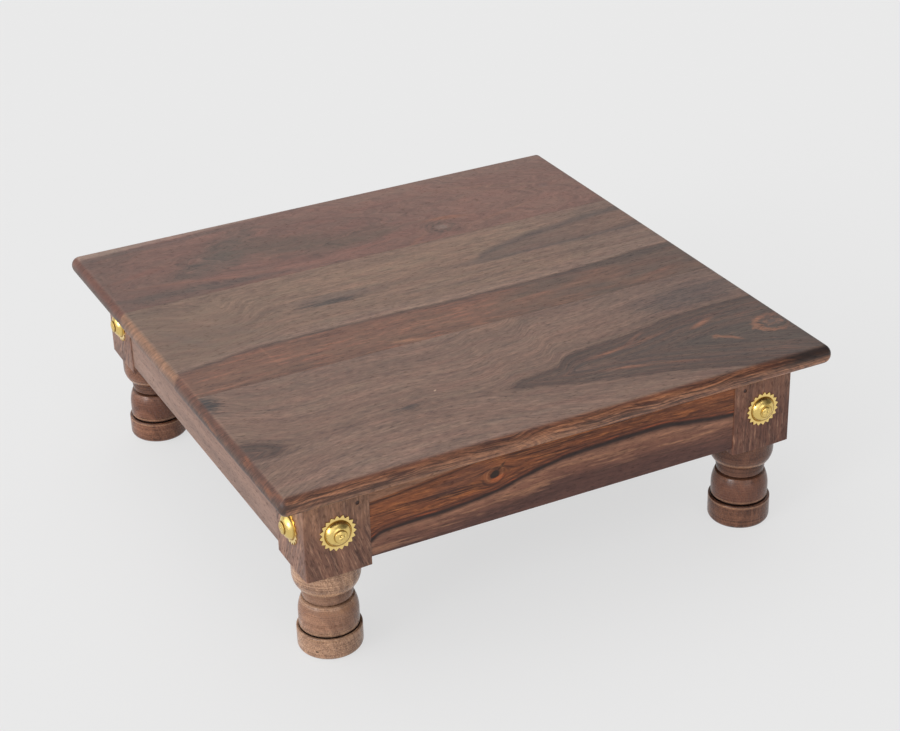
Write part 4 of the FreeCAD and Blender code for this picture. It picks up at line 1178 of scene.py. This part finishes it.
def front_apron_wood(looks):
    """Red-brown apron with a dark vein along it, fine gold and dark streaks above and a knot."""
    f = Finish(bpy.data.materials.new("front_apron_wood"))
    x, y, z = f.object_place()
    tall = (APRON_HIGH.z - APRON_LOW.z) * 1000
    up = z - APRON_LOW.z * 1000 + wander(f, x, y, z, 3.1, 1.1) + (y - APRON_LOW.y * 1000) * 0.5
    u = (x + FRONT_APRON / 2) / FRONT_APRON
    knot = f.round_patch(x, up, (-52.6, 38.8), (5, 3.8), 24)
    aside = f.rise(knot, 4.2, 0.4) * (f.rise(up, 35, 42) * 2 - 1)
    bent = up - aside * 3.6
    vein = (bent / tall - f.curve(u, APRON_VEIN)) * tall
    marks = wood_marks(f, bent, x, 31.3, 0.7)
    hair = f.noise(bent / 1.1, x / 24, 8.8, **HARSH)
    spread = f.noise(x / 34, up / 40, 5.1) * 0.35 + f.rise(x, -70, 50) * 0.15 + 0.55
    ragged = (vein + hair * 0.9) / (f.rise(vein, 0.4, -0.4) * (spread - 1) + 1)
    f.shade = f.layers(ragged, [
        (-36, (78, 51, 45)), (-24, (96, 64, 53)), (-14, (113, 77, 62)),
        (-7, (128, 92, 74)), (-4.2, (100, 70, 57)), (-2.4, (56, 38, 33)),
        (-0.6, (34, 23, 22)), (0.6, (46, 27, 21)), (1.5, (76, 43, 30)),
        (2.6, (92, 51, 34)), (3.6, (66, 37, 27)), (5.2, (106, 60, 38)),
        (7, (82, 45, 30)), (9, (114, 66, 41)), (12, (92, 54, 36)),
        (18, (126, 75, 46)), (27, (112, 67, 44)), (40, (122, 76, 50))])
    ember = f.ridge(ragged, 2.2, 1) * f.rise(f.noise(x / 18, bent / 3, 3.7), -0.1, 0.3)
    f.lay(ember * 0.7, (142, 72, 40))
    above = f.rise(vein, 2.5, 6)
    gold = f.rise(f.noise(bent / 2, x / 30, 6.1, detail=3) + marks * 0.2, 0.02, 0.36) * above
    f.lay(gold * 0.6, (156, 96, 54))
    lines = f.rise(f.noise(bent / 1.6, x / 70, 12.6), 0.12, 0.34) * above
    f.lay(lines * 0.85, (50, 28, 22))
    wisps = f.rise(f.noise(bent / 0.9, x / 26, 15.2, **HARSH), 0.05, 0.35) * above
    f.lay(wisps * 0.6, (60, 34, 25))
    glints = f.rise(f.noise(bent / 1.1, x / 20, 25.2, **HARSH), 0.1, 0.35) * above
    f.lay(glints * 0.45, (164, 108, 66))
    wedge = f.rise(f.round_patch(x, up, (-78, 42), (30, 8), 12) + marks * 0.4, 1.2, 0.3)
    f.lay(wedge * 0.5, (88, 60, 53))
    low = (up / tall - f.curve(u, APRON_SHADOW)) * tall + hair * 1.6
    f.lay(f.rise(low, 1, -3) * (f.rise(x, 0, 70) * 0.3 + 0.2), (74, 46, 40))
    f.lay(f.ridge(low, -0.6, 1.6) * 0.4, (46, 30, 28))
    tan = f.rise(f.noise(bent / 2.8, x / 40, 19.4, detail=3), 0, 0.36)
    f.lay(tan * f.rise(vein, -4, -7) * f.rise(low, -1, 3) * 0.65, (152, 112, 86))
    curls = f.rise(f.noise(bent / 1.3, x / 18, 29.4, **HARSH), 0.04, 0.36)
    f.lay(curls * f.rise(vein, -3, -6) * 0.45, (66, 43, 37))
    sap = (up / tall - f.curve(u, APRON_SAP)) * tall + hair
    f.lay(f.rise(sap, -0.6, 1.2) * 0.85, (134, 100, 80))
    f.lay(f.ridge(sap, -1.8, 1.6) * f.rise(x, 20, -40) * 0.75, (46, 28, 24))
    under = f.round_patch(x, up, (-50, 34.5), (8, 2.6), 8) + hair * 0.4
    f.lay(f.rise(under, 1.2, 0.4) * 0.85, (160, 86, 48))
    smile = f.ridge(knot + hair * 0.2, 2.1, 0.4) * f.rise(up, 38, 34)
    f.lay(smile * 0.7, (44, 26, 21))
    arm = f.rise(f.round_patch(x, up, (-48, 43), (6, 1.2), 42) + hair * 0.5, 1.1, 0.5)
    heart = f.larger(f.rise(knot + hair * 0.5, 1.05, 0.6), arm * 0.8)
    f.lay(heart * 0.92, (30, 25, 21))
    f.lay(f.ridge(knot + hair * 0.3, 1.4, 0.3) * 0.4, (146, 98, 66))
    f.shade = f.tint(f.shade, (1.16, 1.12, 1.08))
    vessels = pores(f, bent, x, 33.8)
    return oiled(f, marks + hair * 0.35, vessels, 0.42, 0.72, looks.frame_stain, 0.3)


def side_apron_wood(looks):
    """Plain light grey-brown aprons, rosier towards the front left."""
    f = Finish(bpy.data.materials.new("side_apron_wood"))
    x, y, z = f.object_place()
    along = x + y
    up = z + wander(f, along, x - y, z, 8.4, 2.4)
    marks = wood_marks(f, up, along, 41.9, 0.7)
    band = f.noise(up / 9, along / 150, 6.2)
    f.shade = f.mix(f.rise(band, -0.4, 0.5), (112, 82, 68), (134, 102, 86))
    rosy = f.rise(y, -40, -150) * f.rise(z, 110, 128)
    f.lay(rosy * 0.4, (150, 102, 78))
    return oiled(f, marks, pores(f, up, along, 43.3), 0.44, 0.5, looks.frame_stain)


def hidden_wood(looks):
    """Bare planed corner blocks."""
    f = Finish(bpy.data.materials.new("corner_block_wood"))
    x, y, z = f.object_place()
    along = x + f.rise(x * y, -100, 100) * 2 * y - y
    across = z + wander(f, x, y, z, 2.8, 2) * 2
    marks = wood_marks(f, across, along, 51.2)
    f.shade = f.mix(marks * 0.5 + 0.5, (128, 92, 66), (158, 120, 88))
    return oiled(f, marks, pores(f, across, along, 52.6), 0.6, 0.4, looks.block_stain)


def pin_wood():
    """Dark ends of the wooden pins, with fine rings."""
    f = Finish(bpy.data.materials.new("pin_wood"))
    x, y, z = f.object_place()
    speck = f.noise(x / 0.8, y / 0.8, z / 0.8)
    f.shade = f.mix(speck * 0.5 + 0.5, (44, 27, 23), (78, 50, 40))
    return f.surface(speck * 0.1 + 0.55, speck * 0.5, 0.06)


# Metal

DOME_FOOT = 10.2     # mm radius of the crease round the dome
HEAD_FOOT = 4.95     # mm radius of the crease round the nail's head
DOME_SHADE = 9.4     # mm radius inside which the dome is a little darker than the flat sheet


def brass(name, bright, roughness, dents=()):
    """Stamped brass: painted shade darkens the creases round the dome and the nail's head; rubbed bright
    elsewhere, with faint random tarnish, faintly uneven.
    """
    f = Finish(bpy.data.materials.new(name))
    x, y, z = f.object_place()
    rise = z - PLATE_HEIGHT * 1000
    beside_front = abs(x) - LEG_X * 1000
    beside_side = abs(y) - LEG_Y * 1000
    radius = f.smaller((beside_front ** 2 + rise ** 2) ** 0.5, (beside_side ** 2 + rise ** 2) ** 0.5)
    crease = f.larger(f.ridge(radius, DOME_FOOT, 0.8), f.ridge(radius, HEAD_FOOT, 0.6))
    cloud = f.noise(x / 2.6, y / 2.6, z / 2.6, detail=3)
    fine = f.noise(x / 0.5, y / 0.5, z / 0.5)
    leg_face = (LEG_Y + LEG_SIDE / 2) * 1000
    facing = f.rise(abs(y), leg_face - 0.5, leg_face + 0.5)
    beside = beside_side * (1 - facing) + beside_front * facing
    hollow = 0
    for place, half, depth in dents:
        hollow = f.rise(f.round_patch(beside, rise, place, (half, half)), 1, 0) * depth + hollow
    # painted shade in the creases, over faint random tarnish from the clouds
    crease_shade_and_tarnish = f.larger(crease * 0.85, f.rise(cloud, 0.05, 0.6) * 0.4)
    f.shade = f.mix(crease_shade_and_tarnish, bright, f.tint(bright, (0.42, 0.32, 0.16)))
    f.lay(f.rise(radius, DOME_FOOT, DOME_SHADE), f.tint(f.shade, (0.88, 0.87, 0.78)))
    rough = cloud * 0.05 + fine * 0.03 + crease * 0.2 + roughness
    return f.surface(rough, cloud * 0.8 + fine * 0.1 - hollow, 0.1, metallic=1)


def steel(looks):
    """Plain screws, brushed and slightly dull."""
    f = Finish(bpy.data.materials.new("screw_steel"))
    x, y, z = f.object_place()
    scratch = f.noise(x / 0.3, y / 3, z / 0.6)
    f.shade = f.tint(looks.steel, scratch * 0.2 + 1)
    return f.surface(scratch * 0.1 + 0.38, scratch * 0.3, 0.03, metallic=1)


# Operators, one for each piece or group of like pieces

# Soft panels of the studio: direction, inner and outer angle in degrees, and strength over the
# room's glow, less than 0 where the room is darker
LIGHT_PANELS = (
    ((-1, -0.8, 0.65), 18, 36, 0.7),
    ((-1, 0.05, 0.2), 20, 42, 1.65),
    ((-0.9, -0.28, 0.3), 5, 13, 8),
    ((-0.04, -0.6, 0.8), 5, 14, 1.6),
    ((-0.2, 0.4, 1), 20, 55, 0.8),
    ((0.4, 0.8, 0.47), 25, 55, 0.12),
    ((0, -1, 0.05), 8, 24, 1.7),
    ((0.4, -0.7, 0.7), 10, 55, -0.1),
    ((1, -0.3, 0.1), 25, 60, -0.3),
)
ROOM_GLOW = 0.52      # brightness of the room that lights the table
BACKDROP = 0.8        # brightness of the room behind, as the camera sees it
PAPER_GLOW = 0.8      # share of the floor that glows evenly; the rest takes the shadow


class LOWTABLE_OT_stage(bpy.types.Operator):
    """Set the floor, the light and the camera"""
    bl_idname = "lowtable.stage"
    bl_label = "Stage"

    def execute(self, context):
        chosen = context.scene.table_stage
        put_down()
        bpy.ops.mesh.primitive_plane_add(size=chosen.floor_side)
        floor = named("Floor")
        f = Finish(bpy.data.materials.new("floor_paper"))
        paper = f.node("ShaderNodeBsdfPrincipled", None, {
            "Base Color": chosen.floor_colour, "Roughness": 0.9, "Specular IOR Level": 0})
        glow = f.node("ShaderNodeEmission", None, {"Color": chosen.floor_colour, "Strength": 1})
        seen = f.node("ShaderNodeLightPath")
        mirrored = f.node("ShaderNodeLightPath", output=3)
        share = f.larger(seen, mirrored) * PAPER_GLOW
        shader = f.node("ShaderNodeMixShader", None, {0: share, 1: paper, 2: glow})
        f.node("ShaderNodeOutputMaterial", None, {"Surface": shader})
        floor.data.materials.append(f.owner)
        self.light(context.scene)
        self.look(context.scene, chosen)
        return {"FINISHED"}

    def light(self, scene):
        """White room with soft panels, brightest at the left; the camera itself sees it plain."""
        scene.world = bpy.data.worlds.new("studio_light")
        f = Finish(scene.world)
        way = f.node("ShaderNodeTexCoord")
        glow = ROOM_GLOW
        for direction, inner, outer, strength in LIGHT_PANELS:
            aim = Vector(direction).normalized()
            facing = f.node("ShaderNodeVectorMath", {"operation": "DOT_PRODUCT"},
                            {0: way, 1: aim}, output=1)
            rim, core = math.cos(math.radians(outer)), math.cos(math.radians(inner))
            glow = glow + f.rise(facing, rim, core) * strength
        seen = f.node("ShaderNodeLightPath")
        strength = seen * BACKDROP + (1 - seen) * glow
        back = f.node("ShaderNodeBackground", None, {"Color": (255, 255, 255), "Strength": strength})
        f.node("ShaderNodeOutputWorld", None, {"Surface": back})

    def look(self, scene, chosen):
        camera = bpy.data.objects.new("Camera", bpy.data.cameras.new("Camera"))
        scene.collection.objects.link(camera)
        turn, tip, roll = map(math.radians, (chosen.azimuth, chosen.elevation, chosen.roll))
        level = Vector((math.cos(turn), math.sin(turn), 0))
        ahead = Vector((-math.sin(turn), math.cos(turn), 0))
        back = ahead * -math.cos(tip) + Vector((0, 0, math.sin(tip)))
        upright = back.cross(level)
        right = level * math.cos(roll) + upright * math.sin(roll)
        up = upright * math.cos(roll) - level * math.sin(roll)
        aim = Matrix((right, up, back)).transposed()
        camera.matrix_world = Matrix.Translation(chosen.place) @ aim.to_4x4()
        camera.data.lens = chosen.lens
        camera.data.sensor_width = 36
        camera.data.sensor_fit = "HORIZONTAL"
        scene.camera = camera
        scene.view_settings.view_transform = "Standard"


class LOWTABLE_OT_top(bpy.types.Operator):
    """Make the three boards of the top"""
    bl_idname = "lowtable.top"
    bl_label = "Top boards"

    def execute(self, context):
        woods = {"front": front_board_wood, "middle": middle_board_wood, "back": back_board_wood}
        for name in BOARDS:
            board = make_board(name, context.scene.table_top)
            wood = woods[name](context.scene.table_finish)
            finish_piece(board, "top_board_" + name, wood)
        return {"FINISHED"}


class LOWTABLE_OT_legs(bpy.types.Operator):
    """Turn one leg and set it at the four corners"""
    bl_idname = "lowtable.legs"
    bl_label = "Legs"

    def execute(self, context):
        sizes = context.scene.table_leg
        pattern = make_leg(sizes, context.scene.table_rail)
        wood = leg_wood(context.scene.table_finish, sizes)
        for order, name in enumerate(LEGS):
            low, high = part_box("leg_" + name)
            place = ((low.x + high.x) / 2, (low.y + high.y) / 2, 0)
            leg = copy_to(pattern, "Leg_" + name, place, (order * ROUND / 4, "Z"))
            up = sizes.right_groove_shift if "right" in name else -sizes.left_groove_shift
            shift_groove(leg, sizes, up)
            finish_piece(leg, "leg_" + name, wood)
        bpy.data.objects.remove(pattern)
        return {"FINISHED"}


class LOWTABLE_OT_aprons(bpy.types.Operator):
    """Make the four aprons with their tenons"""
    bl_idname = "lowtable.aprons"
    bl_label = "Aprons"

    def execute(self, context):
        rails = context.scene.table_rail
        looks = context.scene.table_finish
        woods = {"front": front_apron_wood(looks), "side": side_apron_wood(looks)}
        across = LEG_X - LEG_SIDE / 2
        deep = LEG_Y - LEG_SIDE / 2
        front = make_rail("Apron_front", Vector((-across, APRON_LOW.y, APRON_LOW.z)),
                          Vector((across, APRON_HIGH.y, APRON_HIGH.z)), rails)
        low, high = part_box("apron_right")
        side = make_rail("Side_pattern", Vector((-deep, -high.x, low.z)),
                         Vector((deep, -low.x, high.z)), rails)
        pieces = {
            "front": front,
            "back": copy_to(front, "Apron_back", (0, 0, 0), (ROUND / 2, "Z")),
            "left": copy_to(side, "Apron_left", (0, 0, 0), (-ROUND / 4, "Z")),
            "right": copy_to(side, "Apron_right", (0, 0, 0), (ROUND / 4, "Z")),
        }
        bpy.data.objects.remove(side)
        for name, piece in pieces.items():
            wood = woods["front" if name == "front" else "side"]
            finish_piece(piece, "apron_" + name, wood)
        return {"FINISHED"}


def leg_faces():
    """Each outer leg face: name, place of its rosette on the wood, and turn about Z."""
    turns = {"front": 0, "right": 1, "back": 2, "left": 3}
    for corner in LEGS:
        front_or_back, left_or_right = corner.split("_")
        for last, side in ((front_or_back, front_or_back), ("side", left_or_right)):
            name = corner + "_" + last
            low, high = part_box("rosette_" + name)
            place = (low + high) / 2
            axis = 0 if last == "side" else 1
            place[axis] = (high if side in ("front", "left") else low)[axis]
            yield name, place, turns[side] * ROUND / 4


SPIN_STEP = 0.37    # each rosette is turned on from the last by this share of a tooth


class LOWTABLE_OT_rosettes(bpy.types.Operator):
    """Stamp one rosette and set it on the eight outer leg faces"""
    bl_idname = "lowtable.rosettes"
    bl_label = "Rosettes"

    def execute(self, context):
        sizes = context.scene.table_brass
        pattern = make_rosette(sizes)
        metal = brass("rosette_brass", context.scene.table_finish.brass, 0.24)
        for order, (name, place, turn) in enumerate(leg_faces()):
            spin = (order * SPIN_STEP % 1) * ROUND / sizes.teeth
            turns = (turn, "Z"), (ROUND / 4, "X"), (spin, "Z")
            plate = copy_to(pattern, "Rosette_" + name, place, *turns)
            finish_piece(plate, "rosette_" + name, metal)
        bpy.data.objects.remove(pattern)
        return {"FINISHED"}


# Punch marks in the nail heads, in mm from the head's middle: x, y, size and depth
DEEP_DENTS = ((-1.5, 0.7, 1.3, 0.45), (0.4, 0.9, 1.2, 0.45), (1.7, -2.3, 1.5, 0.4))
FAINT_DENT = ((0.4, 0.8, 1.2, 0.12),)
# The same in the brass itself: place, half size and depth in tenths of a mm
PUNCH_MARKS = (((-2.4, 0.9), 1.3, 5), ((0.3, 1), 1.2, 5), ((-0.2, -2.4), 1.4, 4))
PLAIN_HEAD = 0.86    # radius of a plain nail's head, as a share of a punched one's


class LOWTABLE_OT_nails(bpy.types.Operator):
    """Make the rosette nails, punched or plain"""
    bl_idname = "lowtable.nails"
    bl_label = "Rosette nails"

    def execute(self, context):
        sizes = context.scene.table_brass
        punched = make_nail("Nail_punched", sizes, sizes.head_radius, DEEP_DENTS)
        plain = make_nail("Nail_plain", sizes, sizes.head_radius * PLAIN_HEAD, FAINT_DENT)
        metal = brass("nail_brass", context.scene.table_finish.brass, 0.28, PUNCH_MARKS)
        for order, (name, place, turn) in enumerate(leg_faces()):
            pattern = plain if name == "front_right_front" or order % 3 == 2 else punched
            nail = copy_to(pattern, "Rosette_nail_" + name, place, (turn, "Z"), (ROUND / 4, "X"))
            finish_piece(nail, "rosette_nail_" + name, metal)
        bpy.data.objects.remove(punched)
        bpy.data.objects.remove(plain)
        return {"FINISHED"}


class LOWTABLE_OT_hidden_parts(bpy.types.Operator):
    """Finish the frame's own corner blocks, pins and screws"""
    bl_idname = "lowtable.hidden_parts"
    bl_label = "Corner blocks, pins and screws"

    def execute(self, context):
        looks = context.scene.table_finish
        block_wood = hidden_wood(looks)
        finishes = {"corner_block_" + name: block_wood for name in LEGS}
        finishes["tenon_pins"] = pin_wood()
        finishes["top_screws"] = finishes["leg_screws"] = steel(looks)
        for name, material in finishes.items():
            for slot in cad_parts[name].material_slots:
                slot.material = material
        return {"FINISHED"}


class LOWTABLE_PT_panel(bpy.types.Panel):
    """Every piece of the table and its stage"""
    bl_label = "Bajot low table"
    bl_space_type = "VIEW_3D"
    bl_region_type = "UI"
    bl_category = "Low table"

    def draw(self, context):
        for operator in OPERATORS:
            self.layout.operator(operator.bl_idname)
        for name in GROUPS:
            sizes = getattr(context.scene, name)
            for key in sizes.bl_rna.properties.keys():
                if key not in ("rna_type", "name"):
                    self.layout.prop(sizes, key)


OPERATORS = (LOWTABLE_OT_stage, LOWTABLE_OT_top, LOWTABLE_OT_legs, LOWTABLE_OT_aprons,
             LOWTABLE_OT_rosettes, LOWTABLE_OT_nails, LOWTABLE_OT_hidden_parts)
GROUPS = {"table_top": TopSizes, "table_leg": LegSizes, "table_rail": RailSizes,
          "table_brass": BrassSizes, "table_finish": FinishSettings,
          "table_stage": StageSettings}


def register():
    for group in GROUPS.values():
        bpy.utils.register_class(group)
    for name, group in GROUPS.items():
        setattr(bpy.types.Scene, name, bpy.props.PointerProperty(type=group))
    for operator in OPERATORS:
        bpy.utils.register_class(operator)
    bpy.utils.register_class(LOWTABLE_PT_panel)


def unregister():
    bpy.utils.unregister_class(LOWTABLE_PT_panel)
    for operator in reversed(OPERATORS):
        bpy.utils.unregister_class(operator)
    for name, group in reversed(GROUPS.items()):
        delattr(bpy.types.Scene, name)
        bpy.utils.unregister_class(group)


def main():
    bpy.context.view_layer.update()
    register()
    bpy.ops.lowtable.stage()
    bpy.ops.lowtable.top()
    bpy.ops.lowtable.legs()
    bpy.ops.lowtable.aprons()
    bpy.ops.lowtable.rosettes()
    bpy.ops.lowtable.nails()
    bpy.ops.lowtable.hidden_parts()


if __name__ == "__main__":
    main()
